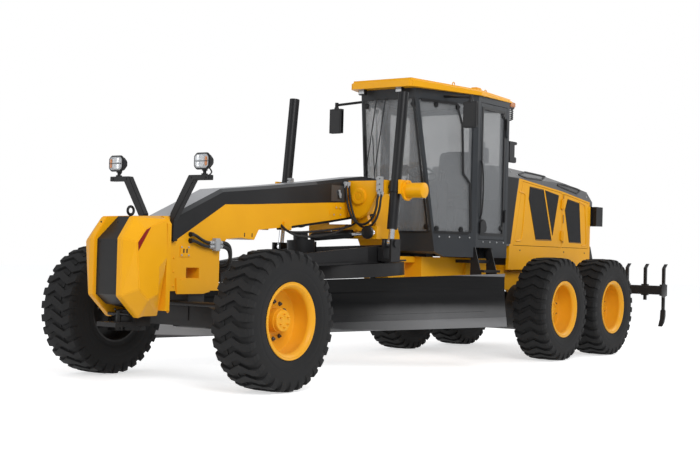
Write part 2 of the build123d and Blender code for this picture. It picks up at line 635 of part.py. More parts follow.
def lean_frame(side):
    x = FRONT_X
    tube = rod((x, KINGPIN_Y, 496), (x, KINGPIN_Y, 800), 50)
    parts = [tube]
    for sign in (1, -1):
        a, b = sorted((x + sign * LEAN_PLATE_X[0], x + sign * LEAN_PLATE_X[1]))
        plate = front_prism([(LEAN_Y - 50, LEAN_Z - 50), (LEAN_Y - 50, LEAN_Z + 50),
                             (LEAN_Y - 35, LEAN_Z + 200), (LEAN_Y + 35, LEAN_Z + 200),
                             (KINGPIN_Y, 780), (KINGPIN_Y, 520), (LEAN_Y, LEAN_Z - 70)], a, b)
        parts.append(plate)
        a, b = sorted((x, x + sign * LEAN_PLATE_X[1]))
        parts.append(block(a, b, KINGPIN_Y - 40, KINGPIN_Y, 530, 770))
    bx, bz = BAR_PIN
    parts.append(rod((x + 80, LEAN_Y, LEAN_Z + bz), (x + bx + 40, LEAN_Y, LEAN_Z + bz), 18))
    whole = fused(parts) - rod((x - 200, LEAN_Y, LEAN_Z), (x + 200, LEAN_Y, LEAN_Z), 28 + PIN_GAP)
    whole = whole - rod((x, KINGPIN_Y, 300), (x, KINGPIN_Y, 1000), 26 + PIN_GAP)
    return sided(whole, side)


def lean_bar():
    bx, bz = BAR_PIN
    x, z = FRONT_X + bx, LEAN_Z + bz
    bar = rod((x, -LEAN_Y + 20, z), (x, LEAN_Y - 20, z), 22)
    for y in (-LEAN_Y, LEAN_Y):
        bar = bar + rod((x - 20, y, z), (x + 20, y, z), 38)
    for y in (-LEAN_Y, LEAN_Y):
        bar = bar - rod((x - 60, y, z), (x + 60, y, z), 18 + PIN_GAP)
    return bar


def knuckle(side):
    x = FRONT_X
    upper = rod((x, KINGPIN_Y, 800 + RUN_GAP), (x, KINGPIN_Y, 846), 58) + block(x - 58, x
                                                                                + 58, KINGPIN_Y, 985, 806, 846)
    lower = rod((x, KINGPIN_Y, 444), (x, KINGPIN_Y, 490), 58) + block(x - 58, x
                                                                      + 58, KINGPIN_Y, 985, 444, 490)
    web = block(x - 58, x + 58, KINGPIN_Y + 62 + 8, 985, 444, 846)
    pin = rod((x, KINGPIN_Y, 444), (x, KINGPIN_Y, 846), 26)
    arm = plan_prism([(x - 40, KINGPIN_Y - 55), (x - 58, KINGPIN_Y), (STEER_X - 30, LEAN_Y + 30),
                      (STEER_X - 30, LEAN_Y - 35), (STEER_X + 40, LEAN_Y - 35)], 444, 484)
    spindle = rod((x, 985, HUB_Z), (x, HALF_TRACK + 38, HUB_Z), SPINDLE_R)
    return sided(fused([upper, lower, web, pin, arm, spindle]), side)


# ---------------------------------------------------------------- lift saddle and cylinders
CAP_R = 82
LIFT_PIN_R = 28
CS_PIN_R = 22             # centre shift cylinder's pin


def lift_line(side, distance):
    """A point on a lift cylinder's axis, a distance below its trunnion."""
    x, z = LIFT_TRUNNION
    tilt = radians(LIFT_TILT)
    return (x + distance * sin(tilt), side * LIFT_Y, z - distance * cos(tilt))


def lift_saddle():
    x, z = LIFT_TRUNNION
    plate = front_prism([(-420, 1440), (420, 1440), (420, 1600), (300, 1930), (300, 2080), (-300, 2080),
                         (-300, 1930), (-420, 1600)], 3735, 3785)
    plate = plate - block(3700, 3900, -FRAME_HALF_W, FRAME_HALF_W, 1600, 2200)
    for i in range(5):
        plate = plate - rod((3700, -240 + i * 120, 1515), (3800, -240 + i * 120, 1515), 28)
    arm = block(3720, 3860, FRAME_HALF_W, 680, z - 70, z + 70)
    inner = block(3720, 3870, 655, 680, z - 75, z + 75)
    outer = block(3720, 3870, LIFT_Y + 82, LIFT_Y + 107, z - 75, z + 75)
    bridge = block(3660, 3700, 655, LIFT_Y + 107, z - 75, z + 75)
    for y0, y1 in ((655, 680), (LIFT_Y + 82, LIFT_Y + 107)):
        bridge = bridge + block(3690, 3730, y0, y1, z - 75, z + 75)
    cap = rod((3740, LIFT_Y + 107, z - 35), (3740, 1097, z - 35), CAP_R)
    cap = cap + rod((3740, LIFT_Y + 107, z - 35), (3740, LIFT_Y + 127, z - 35), CAP_R + 30)
    side = fused([arm, inner, outer, bridge, cap]) - rod((x, 600, z), (x, LIFT_Y + 112, z), LIFT_PIN_R
                                                         + PIN_GAP)
    clevis = block(3785, CS_X - 30 - RUN_GAP, CS_Y[0] - 60, CS_Y[0] + 60, CS_Z[0] - 70, CS_Z[0] + 70)
    clevis = clevis + rod((3790, CS_Y[0], CS_Z[0]), (CS_X + 45, CS_Y[0], CS_Z[0]), CS_PIN_R)
    rib = block(3735, 3785, 400, CS_Y[0] + 60, CS_Z[0] - 70, CS_Z[0] + 70)
    return fused([plate] + both(side) + [clevis, rib])


LIFT_TOP = 1050
LIFT_GLAND = 463
LIFT_EYE = {1: 620, -1: 682}


def lift_barrels():
    made = []
    for side in (1, -1):
        x, z = LIFT_TRUNNION
        tube = rod(lift_line(side, -LIFT_TOP), lift_line(side, LIFT_GLAND), BARREL_R)
        collar = rod(lift_line(side, -60), lift_line(side, 60), BARREL_R + 14)
        pins = rod((x, side * (LIFT_Y - 104), z), (x, side * (LIFT_Y + 106), z), LIFT_PIN_R)
        bore = rod(lift_line(side, -LIFT_TOP + 60), lift_line(side, LIFT_GLAND + 10), ROD_R + PIN_GAP)
        made.append(tube + collar + pins - bore)
    return made


def lift_rods():
    made = []
    for side in (1, -1):
        end = LIFT_EYE[side]
        stem = rod(lift_line(side, -700), lift_line(side, end), ROD_R)
        x, _, z = lift_line(side, end)
        eye = rod((x, side * LIFT_Y - 25, z), (x, side * LIFT_Y + 25, z), 50)
        made.append(stem + eye)
    return made


# centre shift cylinder: rod eye at the link bar, barrel eye over the drawbar
CS_ROD_R = 26
CS_X = 3850
CS_Y = (480, -300)
CS_Z = (1512, 1455)


def centre_shift_point(t):
    """A point on the cylinder's axis, t = 0 at the link bar and 1 at the drawbar."""
    return (CS_X, CS_Y[0] + t * (CS_Y[1] - CS_Y[0]), CS_Z[0] + t * (CS_Z[1] - CS_Z[0]))


def centre_shift_rod():
    eye = rod((CS_X - 30, CS_Y[0], CS_Z[0]), (CS_X + 30, CS_Y[0], CS_Z[0]), 48)
    pin = rod((CS_X - 60, CS_Y[0], CS_Z[0]), (CS_X + 60, CS_Y[0], CS_Z[0]), CS_PIN_R + PIN_GAP)
    return rod(centre_shift_point(0.0), centre_shift_point(0.85), CS_ROD_R) + eye - pin


def centre_shift_barrel():
    tube = rod(centre_shift_point(0.32), centre_shift_point(0.97), 48)
    foot = Pos(*centre_shift_point(1.0)) * Sphere(46)
    return tube + foot - rod(centre_shift_point(0.2), centre_shift_point(0.88), CS_ROD_R + PIN_GAP)


# ---------------------------------------------------------------- drawbar, circle and blade
def drawbar_frame():
    """Place of the drawbar: local origin at the ball, level and straight before it is pitched and rolled."""
    return Pos(*BALL) * Rot(DRAWBAR_ROLL, 0, 0) * Rot(0, DRAWBAR_PITCH, 0)


def circle_frame():
    return drawbar_frame() * Pos(-CIRCLE_BACK, 0, RING_TOP)


def blade_frame():
    """Local X ahead of the blade, Y along it to the left, Z up, zero at the circle's centre on the ring's top."""
    return circle_frame() * Rot(0, 0, BLADE_TURN)


PLATE_Z = (20, 40)


def drawbar():
    back = -CIRCLE_BACK
    leg_plan = [(-150, 50), (-150, 130), (back + 222, 640), (back - 178, 640), (back - 178, 560),
                (back + 172, 530), (-300, 40)]
    wedge = side_prism([(-100, PLATE_Z[0]), (-100, PLATE_Z[0] + 85), (back - 228, 219),
                        (back - 228, PLATE_Z[0])], -800, 800)
    leg = common(plan_prism(leg_plan, PLATE_Z[0], 300), wedge)
    tongue = block(-330, -110, -125, 125, -70, 105)
    cup = block(-130, 15, -100, 100, -95, 95)
    beam = block(back - 178, back - 38, -690, 690, PLATE_Z[0], 214)
    nose = 0.355 * back
    plate = plan_prism([(nose, -260), (nose, 260), (back + 472, 620), (back - 588, 600), (back - 588, -600),
                        (back + 472, -620)], *PLATE_Z)
    plate = plate - Pos(-CIRCLE_BACK, 0, 0) * Cylinder(430, 200)
    drive = Pos(-CIRCLE_BACK + 560, 0, 0) * (Pos(0, 0, 160) * Cylinder(150, 280)
                                             + Pos(0, 0, 330) * Cylinder(80, 120))
    shoes = []
    for i in range(4):
        turn = Pos(-CIRCLE_BACK, 0, 0) * Rot(0, 0, 45 + 90 * i)
        pad = block(655, 760, -60, 60, RING_TOP + PIN_GAP, PLATE_Z[0] + 1)
        hook = block(595, 628, -60, 60, -50, PLATE_Z[0] + 1) + block(600, 700, -60, 60, -50,
                                                                     RING_TOP - RING_FLANGE_T - PIN_GAP)
        shoes += [turn * pad, turn * hook]
    local = fused([tongue, cup, leg, mirrored(leg), beam, plate, drive] + shoes)
    placed = drawbar_frame() * local - Pos(*BALL) * Sphere(62 + PIN_GAP)
    ears = []
    for side in (1, -1):
        x, y, z = lift_line(side, LIFT_EYE[side])
        inner = block(x - 95, x + 80, LIFT_Y - 62, LIFT_Y - 37, z - 195, z + 50)
        outer = block(x - 95, x + 80, LIFT_Y + 37, LIFT_Y + 62, z - 195, z + 50)
        foot = block(x - 95, x + 80, LIFT_Y - 62, LIFT_Y + 62, z - 195, z - 165)
        boss = rod((x, LIFT_Y + 62, z), (x, LIFT_Y + 78, z), 42)
        tie = block(x - 95, x + 80, LIFT_Y - 110, LIFT_Y - 60, z - 190, z - 40)
        ears.append(sided(fused([inner, outer, foot, boss, tie]), side))
    cx, cy, cz = centre_shift_point(1.0)
    post = rod((cx, cy, cz - 160), (cx, cy, cz - 46 - RUN_GAP - 2), 34)
    return fused([placed] + ears + [post])


RING_FLANGE_T = 25
ARM_U = 450
ARM_T = 60
TIP_PIVOT = (-70, -600)   # ahead of the circle's centre, above the ring's top


def circle():
    ring = Pos(0, 0, -RING_DEPTH / 2) * (Cylinder(RING_R, RING_DEPTH) - Cylinder(RING_R - 40, RING_DEPTH + 2))
    flange = Pos(0, 0, -RING_FLANGE_T / 2) * (Cylinder(RING_R - 30, RING_FLANGE_T) - Cylinder(640,
            RING_FLANGE_T + 2))
    arm = side_prism([(-690, -RING_DEPTH + 5), (-90, -RING_DEPTH + 5), (-90, -480), (-32, -570),
                      (-28, -625), (-70, -650),
                       (-140, -640), (-420, -330), (-690, -200)], ARM_U - ARM_T / 2, ARM_U + ARM_T / 2)
    px, pz = TIP_PIVOT
    arm = arm - rod((px, ARM_U - 100, pz), (px, ARM_U + 100, pz), 25 + PIN_GAP)
    cross = rod((-420, -ARM_U, -250), (-420, ARM_U, -250), 60)
    return blade_frame() * fused([ring + flange, arm, mirrored(arm), cross])


RAILS = ((22, 78, -330, -280), (32, 98, -620, -570))   # X0, X1, Z0, Z1 of the moldboard's two slide rails


def blade_carrier():
    inner, outer = ARM_U - ARM_T / 2 - RUN_GAP - 25, ARM_U + ARM_T / 2 + RUN_GAP + 25
    cheeks = []
    shape = [(21, -250), (-18, -250), (-110, -560), (-125, -600), (-70, -655), (-8, -648), (31, -648),
             (31, -542), (21, -355)]
    for y0, y1 in ((inner, inner + 25), (outer - 25, outer)):
        cheeks.append(side_prism(shape, y0, y1))
    claws = []
    for x0, x1, z0, z1 in RAILS:
        back = block(x0 - 42, x0 - PIN_GAP, inner, outer, z0 - 25, z1 + 25)
        top = block(x0 - 42, x0 + 14, inner, outer, z1 + PIN_GAP, z1 + 25)
        low = block(x0 - 42, x0 + 14, inner, outer, z0 - 25, z0 - PIN_GAP)
        claws += [back, top, low]
    px, pz = TIP_PIVOT
    pin = rod((px, inner - 8, pz), (px, outer + 8, pz), 25)
    side = fused(cheeks + claws + [pin])
    tube = rod((-28, -ARM_U + 40, -400), (-28, ARM_U - 40, -400), 28)
    return blade_frame() * fused([side, mirrored(side), tube])


BLADE_TOP = (150, -164)
BLADE_LOW = (180, -700)
BLADE_SAG = 100
BLADE_T = 20
EDGE_LOW = -743


def blade_arc(extra):
    """Blade section face between two arcs: the front face, and the same arc moved back by the plate."""
    (x0, z0), (x1, z1) = BLADE_TOP, BLADE_LOW
    mid = ((x0 + x1) / 2 - BLADE_SAG, (z0 + z1) / 2)
    front = ThreePointArc((x0, z0), mid, (x1, z1))
    back = ThreePointArc((x1 - extra, z1), (mid[0] - extra, mid[1]), (x0 - extra, z0))
    return make_face([front, Line((x1, z1), (x1 - extra, z1)), back, Line((x0 - extra, z0), (x0, z0))])


def moldboard():
    y0, y1 = BLADE_SHIFT - BLADE_L / 2, BLADE_SHIFT + BLADE_L / 2
    plate = extrude(Plane.XZ.offset(-y1) * blade_arc(BLADE_T), y1 - y0)
    edge = side_prism([(158, -640), (178, -640), (206, EDGE_LOW), (186, EDGE_LOW)], y0 + 4, y1 - 4)
    rails = [block(x0, x1, y0 + 240, y1 - 240, z0, z1) for x0, x1, z0, z1 in RAILS]
    return blade_frame() * fused([plate, edge] + rails)


# ---------------------------------------------------------------- ripper
RIPPER_EAR_Y = 330
RIPPER_EAR_T = 40
RIPPER_ARM_T = 50
RIPPER_PIN_R = 25
RIPPER_CYL_BASE = (-1850, 1290)
RIPPER_CYL_EYE = (-2560, 1440)
RIPPER_CYL_W = 90
RIPPER_ROD_R = 28
RIPPER_BEAM_X = -2800


def ripper_frame():
    px, pz = RIPPER_PIVOT
    ex, ez = RIPPER_CYL_EYE
    beam = block(RIPPER_BEAM_X - 90, RIPPER_BEAM_X + 90, -1200, 1200, 790, 920)
    parts = [beam]
    arm_y = (RIPPER_EAR_Y - RIPPER_ARM_T - RUN_GAP, RIPPER_EAR_Y - RUN_GAP)
    arm = side_prism([(px, pz - 60), (px, pz + 60), (-2700, 920), (-2760, 800)], *arm_y)
    arm = arm + rod((px, arm_y[0], pz), (px, arm_y[1], pz), 60)
    arm = arm - rod((px, 0, pz), (px, 500, pz), RIPPER_PIN_R + PIN_GAP)
    parts += both(arm)
    lug_y = (RIPPER_CYL_W / 2 + 16, RIPPER_CYL_W / 2 + 46)
    upright = side_prism([(-2880, 900), (-2600, 900), (ex + 60, ez + 10), (ex + 10, ez + 55),
                          (ex - 50, ez + 40)], *lug_y)
    parts += both(upright)
    for i in range(9):
        y = -1160 + i * 290
        full = i in (0, 4, 8)
        low = 420 if full else 700
        shank = side_prism([(-2915, low), (-2875, low), (-2865, 1180), (-2840, 1245), (-2880, 1245),
                            (-2915, 1180)], y - 20, y + 20)
        parts.append(shank)
        parts.append(block(-2925, -2850, y - 45, y + 45, 770, 940))
        if full:
            parts.append(side_prism([(-2920, 440), (-2870, 440), (-2800, 330), (-2790, 320), (-2860, 360)],
                                    y - 30, y + 30))
    return fused(parts)


def ripper_line(distance):
    (x0, z0), (x1, z1) = RIPPER_CYL_BASE, RIPPER_CYL_EYE
    length = hypot(x1 - x0, z1 - z0)
    return (x0 + (x1 - x0) * distance / length, 0, z0 + (z1 - z0) * distance / length)


def ripper_barrel():
    half = RIPPER_CYL_W / 2
    eye = rod((RIPPER_CYL_BASE[0], -half, RIPPER_CYL_BASE[1]),
              (RIPPER_CYL_BASE[0], half, RIPPER_CYL_BASE[1]), 50)
    tube = rod(ripper_line(30), ripper_line(520), 50)
    bore = rod(ripper_line(90), ripper_line(560), RIPPER_ROD_R + PIN_GAP)
    x, z = RIPPER_CYL_BASE
    pin_bore = rod((x, -200, z), (x, 200, z), RIPPER_PIN_R + PIN_GAP)
    return eye + tube - bore - pin_bore


def ripper_rod():
    x, z = RIPPER_CYL_EYE
    stem = rod(ripper_line(130), (x, 0, z), RIPPER_ROD_R)
    return stem + rod((x, -RIPPER_CYL_W / 2, z), (x, RIPPER_CYL_W / 2, z), 40)


# ---------------------------------------------------------------- hoses
HOSE_R = 14
HOSE_Y = (-140, -105, 105, 140)
HOSE_ENDS = (NECK_SPLIT_X - 865, NECK_JOINT_X
             + 30)     # clip, and joint with the hydraulics at the neck's rear end
NECK_BENDS = (4110, 3752)


def under_neck(x, drop):
    """Height a distance below the underside of the goose neck at X."""
    for (x1, z1), (x0, z0) in zip(NECK_LOW, NECK_LOW[1:]):
        if x0 <= x <= x1:
            return z0 + (z1 - z0) * (x - x0) / (x1 - x0) - drop


def frame_hoses():
    drop = HOSE_R + 3 * SEAT_GAP
    route = [(x, under_neck(x, drop)) for x in (HOSE_ENDS[0], *NECK_BENDS, HOSE_ENDS[1])]
    made = []
    for y in HOSE_Y:
        path = FilletPolyline(*[(x, y, z) for x, z in route], radius=8 * HOSE_R)
        made.append(sweep(Plane(origin=path @ 0, z_dir=path % 0) * Circle(HOSE_R), path))
    return made


# ---------------------------------------------------------------- assembly
def build_all():
    wheels()
    keep("rear_chassis", rear_chassis())
    keep("rear_axle", rear_axle())
    keep("hood_shell", hood_shell())
    keep("hood_cowl", hood_cowl())
    keep("hood_grille", *hood_grille())
    keep("exhaust", exhaust())
    keep("engine_block", block(-1250, 450, -345, 345, RAIL_Z[1] + SEAT_GAP, 2000))
    keep("cab_frame", cab_frame())
    keep("cab_glass", *cab_glass())
    keep("cab_roof", cab_roof())
    keep("cab_base", cab_base())
    keep("cab_ladders", *both(cab_ladder()))
    keep("mirrors", *both(mirror_arm()))
    keep("operator_station", *operator_station())
    for word, side in (("left", 1), ("right", -1)):
        frame, glass = cab_door(side)
        keep("cab_door_" + word, frame)
        keep("cab_door_glass_" + word, glass)
        keep("hood_door_front_" + word, hood_door(FRONT_DOOR, side))
        keep("hood_door_rear_" + word, hood_door(REAR_DOOR, side))
        keep("lean_frame_" + word, lean_frame(side))
        keep("knuckle_" + word, knuckle(side))
    keep("steer_rod", steer_rod())
    keep("lean_bar", lean_bar())
    keep("front_column", front_column())
    keep("neck_beam", side_prism(NECK_SIDE, -FRAME_HALF_W, FRAME_HALF_W))
    keep("neck_rear", neck_rear())
    keep("nose_block", nose_block())
    keep("nose_cheeks", *both(nose_cheek()))
    keep("head_lamps", *both(head_lamp()))
    keep("front_axle", front_axle())
    keep("lift_saddle", lift_saddle())
    keep("frame_hoses", *frame_hoses())
    keep("lift_barrels", *lift_barrels())
    keep("lift_rods", *lift_rods())
    keep("centre_shift_rod", centre_shift_rod())
    keep("centre_shift_barrel", centre_shift_barrel())
    keep("drawbar", drawbar())
    keep("circle", circle())
    keep("blade_carrier", blade_carrier())
    keep("moldboard", moldboard())
    keep("ripper_frame", ripper_frame())
    keep("ripper_barrel", ripper_barrel())
    keep("ripper_rod", ripper_rod())


def middle_x():
    boxes = [Compound(solids).bounding_box() for solids in NODES.values()]
    return (min(b.min.X for b in boxes) + max(b.max.X for b in boxes)) / 2


build_all()
ORIGIN_X = round(middle_x(), 3)

if __name__ == "__main__":
    os.makedirs("parts", exist_ok=True)
    for name, solids in NODES.items():
        moved = [Pos(-ORIGIN_X, 0, 0) * solid for solid in solids]
        whole = moved[0] if len(moved) == 1 else Compound(moved)
        export_step(whole, "parts/" + name + ".step")
    print("origin X", ORIGIN_X, "nodes", len(NODES))
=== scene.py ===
"""Dressed model of a motor grader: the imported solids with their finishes, and the small pieces fitted on them."""
import math

import bmesh
import bpy
from mathutils import Matrix, Vector
from mathutils.bvhtree import BVHTree


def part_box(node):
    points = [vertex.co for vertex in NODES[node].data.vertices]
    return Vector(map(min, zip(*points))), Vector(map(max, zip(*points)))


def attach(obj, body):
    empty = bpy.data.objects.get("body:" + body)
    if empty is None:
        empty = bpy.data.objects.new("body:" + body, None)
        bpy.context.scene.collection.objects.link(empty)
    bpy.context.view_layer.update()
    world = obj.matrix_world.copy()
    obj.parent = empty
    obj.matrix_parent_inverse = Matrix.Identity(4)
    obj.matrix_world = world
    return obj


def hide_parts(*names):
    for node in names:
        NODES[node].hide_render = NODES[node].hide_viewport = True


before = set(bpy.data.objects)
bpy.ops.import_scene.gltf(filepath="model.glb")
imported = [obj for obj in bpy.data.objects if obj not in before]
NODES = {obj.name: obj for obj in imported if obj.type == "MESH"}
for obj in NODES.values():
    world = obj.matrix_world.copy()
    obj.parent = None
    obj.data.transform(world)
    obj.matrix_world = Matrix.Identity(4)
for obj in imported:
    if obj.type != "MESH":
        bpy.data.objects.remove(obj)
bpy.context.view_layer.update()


# ---------------- finishes
class Value:
    """A shader socket that arithmetic can be written on."""

    def __init__(self, finish, socket):
        self.finish, self.socket = finish, socket

    def _math(self, operation, other):
        return self.finish.node("ShaderNodeMath", {0: self, 1: other}, operation=operation)

    def __add__(self, other):
        return self._math("ADD", other)

    def __mul__(self, other):
        return self._math("MULTIPLY", other)

    def clamped(self):
        return self.finish.node("ShaderNodeClamp", {0: self})


class Finish:
    """One material, made from expressions on values."""

    def __init__(self, name):
        self.material = bpy.data.materials.new(name)
        self.material.use_nodes = True
        self.tree = self.material.node_tree
        self.shader = self.tree.nodes["Principled BSDF"]
        self.place = self.node("ShaderNodeTexCoord", {}, "Object")

    def node(self, kind, sockets, output=0, stops=(), **settings):
        """A new node's output as a value; stops are for a colour ramp."""
        made = self.tree.nodes.new(kind)
        for key, setting in settings.items():
            setattr(made, key, setting)
        if stops:
            ramp = made.color_ramp.elements
            while len(ramp) < len(stops):
                ramp.new(0.5)
            for element, (position, shade) in zip(ramp, stops):
                element.position, element.color = position, (shade, shade, shade, 1)
        for key, given in sockets.items():
            self.feed(made.inputs[key], given)
        return Value(self, made.outputs[output])

    def feed(self, socket, given):
        if isinstance(given, Value):
            self.tree.links.new(given.socket, socket)
        else:
            socket.default_value = given

    def set(self, **sockets):
        for key, given in sockets.items():
            self.feed(self.shader.inputs[key.replace("_", " ")], given)
        return self

    def noise(self, scale, detail=3.0, rough=0.55, stretch=(1, 1, 1)):
        place = self.node("ShaderNodeMapping", {"Vector": self.place, "Scale": stretch})
        sockets = {"Vector": place, "Scale": scale, "Detail": detail, "Roughness": rough}
        return self.node("ShaderNodeTexNoise", sockets, "Fac")

    def ramp(self, value, *stops):
        return self.node("ShaderNodeValToRGB", {"Fac": value}, "Color", stops)

    def mix(self, factor, a, b):
        a, b = (shade if isinstance(shade, Value) else (*shade, 1) for shade in (a, b))
        return self.node("ShaderNodeMix", {"Factor": factor, 6: a, 7: b}, 2, data_type="RGBA")

    def part_of(self, vector, axis):
        return self.node("ShaderNodeSeparateXYZ", {0: vector}, axis)

    def up(self):
        return self.part_of(self.node("ShaderNodeNewGeometry", {}, "Normal"), "Z")

    def height(self):
        return self.part_of(self.place, "Z")

    def across(self):
        return self.part_of(self.place, "Y")

    def bump(self, value, strength, distance):
        sockets = {"Height": value, "Strength": strength, "Distance": distance}
        return self.set(Normal=self.node("ShaderNodeBump", sockets, "Normal"))


DUST = (0.36, 0.31, 0.25)


def painted(name, colour, deep, rough, dust=0.12, coat=0.06):
    """Machine paint: slow changes of tone, orange peel, dust on upward faces and low down."""
    paint = Finish(name)
    cloud = paint.ramp(paint.noise(1.6), (0.35, 0.0), (0.7, 1.0))
    tone = paint.mix(cloud, colour, deep)
    settled = paint.ramp(paint.up(), (0.55, 0.0), (1.0, 1.0)) * paint.noise(9.0, 6.0)
    low = paint.ramp(paint.height() * 0.5, (0.1, 1.0), (0.75, 0.0))
    film = ((settled + low * paint.noise(5.0, 8.0, 0.7)) * dust).clamped()
    paint.set(Base_Color=paint.mix(film, tone, DUST), Roughness=(film * 0.5 + rough).clamped())
    paint.set(Coat_Weight=coat, Coat_Roughness=0.12, Specular_IOR_Level=0.2)
    return paint.bump(paint.noise(160.0, 2.0), 0.05, 0.001).material


def rubbery(name, colour, rough, grey):
    rubber = Finish(name)
    worn = rubber.ramp(rubber.noise(7.0, 8.0, 0.7), (0.42, 0.0), (0.75, 1.0))
    rubber.set(Base_Color=rubber.mix(worn * 0.6, colour, grey), Roughness=(worn * 0.12 + rough).clamped())
    rubber.set(Specular_IOR_Level=0.3)
    return rubber.bump(rubber.noise(90.0, 4.0), 0.25, 0.002).material


def polished(name, colour, rough):
    steel = Finish(name)
    streak = steel.noise(14.0, 3.0, 0.5, (1, 1, 12))
    steel.set(Base_Color=(*colour, 1), Metallic=1.0, Roughness=(streak * 0.08 + rough).clamped())
    return steel.material


def cast(name, colour):
    iron = Finish(name)
    iron.set(Base_Color=iron.mix(iron.noise(20.0, 6.0), colour, tuple(c * 0.5 for c in colour)), Roughness=0.7)
    return iron.bump(iron.noise(220.0, 3.0), 0.4, 0.002).material


def woven(name, colour):
    cloth = Finish(name)
    fuzz = cloth.noise(40.0, 6.0, 0.7)
    cloth.set(Base_Color=cloth.mix(fuzz * 0.5, colour, tuple(c * 2 for c in colour)), Roughness=0.9)
    return cloth.bump(fuzz, 0.2, 0.001).material


def clear(name, colour, alpha, rough=0.02):
    pane = Finish(name)
    smear = pane.ramp(pane.noise(3.0, 5.0), (0.4, 0.0), (0.8, 1.0))
    pane.set(Alpha=(smear * 0.06 + alpha).clamped(), Roughness=(smear * 0.06 + rough).clamped())
    return pane.set(Base_Color=(*colour, 1)).material


def perforated(name, colour):
    """Black sheet with rows of small holes, as dark dots in its bump and colour; the dark dots are painted shade in
    the holes.
    """
    sheet = Finish(name)
    sockets = {"Vector": sheet.place, "Scale": 90.0, "Randomness": 0.0}
    cells = sheet.node("ShaderNodeTexVoronoi", sockets, "Distance", feature="F1")
    hole = sheet.ramp(cells, (0.30, 0.0), (0.42, 1.0))
    # dark dots: painted shade in the holes
    shade = sheet.mix(hole, tuple(c * 0.2 for c in colour), tuple(c * 1.6 for c in colour))
    sheet.set(Base_Color=shade, Roughness=0.6, Specular_IOR_Level=0.15)
    return sheet.bump(hole, 0.5, 0.002).material


def edged(name):
    """Black blade paint: streaked above, lighter along the lip, a light band along the foot that is partly bare steel
    and partly painted highlight, painted highlight over the lower blade brighter towards the left end, and worn steel
    on the right end's face lightened by painted highlight.
    """
    paint = Finish(name)
    height, across = paint.height(), paint.across()
    # a light band along the foot, partly bare steel and partly painted highlight
    foot = paint.ramp(height + paint.noise(4.0, 6.0) * 0.05, (0.455, 1.0), (0.475, 0.0))
    # painted highlight over the lower blade
    painted_highlight = paint.ramp(height + paint.noise(1.5, 5.0) * 0.12, (0.60, 1.0), (0.80, 0.0))
    lip = paint.ramp(height * 0.8, (0.848, 0.0), (0.852, 1.0))
    streak = paint.ramp(paint.noise(2.0, 6.0, 0.6, (1, 1, 9)), (0.45, 0.0), (0.8, 1.0))
    # the painted highlights on the lower blade and the foot grow brighter towards the left end
    left = paint.ramp(across * 0.5, (0.10, 0.0), (0.50, 1.0))
    face = paint.ramp(height, (0.325, 0.0), (0.335, 1.0), (0.56, 1.0), (0.64, 0.0))
    # the right end's face: worn steel, partly painted highlight
    right = paint.ramp(across * -0.5, (0.35, 0.0), (0.60, 1.0)) * face
    colour = paint.mix(streak * 0.5, (0.004, 0.004, 0.0045), (0.012, 0.012, 0.0125))
    colour = paint.mix(painted_highlight, colour, paint.mix(left, (0.036, 0.036, 0.037), (0.165, 0.165, 0.168)))
    colour = paint.mix(lip, colour, (0.22, 0.22, 0.225))
    colour = paint.mix(foot, colour, paint.mix(left, (0.13, 0.13, 0.133), (0.22, 0.22, 0.224)))
    colour = paint.mix(right, colour, (0.50, 0.50, 0.51))
    paint.set(Base_Color=colour, Roughness=(foot * 0.1 + 0.38).clamped(), Specular_IOR_Level=0.15)
    return paint.bump(paint.noise(60.0, 3.0), 0.06, 0.001).material


FINISHES = {
    "yellow": painted("machine_yellow", (0.86, 0.400, 0.004), (0.81, 0.365, 0.003), 0.38),
    "rim": painted("rim_yellow", (0.86, 0.405, 0.006), (0.78, 0.350, 0.005), 0.42, 0.14),
    "grey": painted("cab_grey", (0.036, 0.039, 0.043), (0.029, 0.032, 0.036), 0.42, 0.05),
    "black": painted("chassis_black", (0.010, 0.010, 0.011), (0.016, 0.016, 0.017), 0.42, 0.06),
    "tyre": rubbery("tyre_rubber", (0.008, 0.008, 0.0085), 0.75, (0.020, 0.019, 0.018)),
    "hose": rubbery("hose_rubber", (0.012, 0.012, 0.012), 0.5, (0.03, 0.03, 0.03)),
    "chrome": polished("cylinder_chrome", (0.72, 0.73, 0.75), 0.12),
    "cast": cast("engine_casting", (0.10, 0.10, 0.10)),
    "seat": woven("seat_cloth", (0.02, 0.02, 0.022)),
    # the panes' grey, seen through their alpha, is painted reflection
    "glass": clear("cab_glazing", (0.30, 0.31, 0.32), 0.38),
    "trim": rubbery("black_trim", (0.010, 0.010, 0.011), 0.38, (0.02, 0.02, 0.02)),
    "lens": clear("lamp_lens", (0.62, 0.64, 0.66), 0.75, 0.08),
    "amber": clear("amber_lens", (0.55, 0.20, 0.06), 0.9, 0.1),
    "red": clear("red_lens", (0.5, 0.01, 0.01), 0.95, 0.1),
    "mirror": polished("mirror_glass", (0.8, 0.82, 0.84), 0.02),
    "mesh": perforated("vent_mesh", (0.010, 0.010, 0.011)),
    "silver": painted("cast_silver", (0.44, 0.45, 0.46), (0.32, 0.33, 0.34), 0.36, 0.1),
    # painted reflection: the grey sheen on the neck's black top
    "sheen": painted("neck_sheen", (0.40, 0.40, 0.41), (0.32, 0.32, 0.33), 0.28, 0.05, 0.3),
    # slate is also painted reflection on the neck's front cut edges, and painted shade on the wheel nuts
    "slate": painted("chamfer_slate", (0.060, 0.061, 0.063), (0.050, 0.051, 0.053), 0.32, 0.05, 0.3),
    "cowl": painted("cowl_grey", (0.14, 0.14, 0.14), (0.11, 0.11, 0.112), 0.42, 0.08),
    "stripe": painted("red_stripe", (0.26, 0.008, 0.006), (0.20, 0.006, 0.005), 0.35, 0.1),
    "blade": edged("blade_paint"),
}


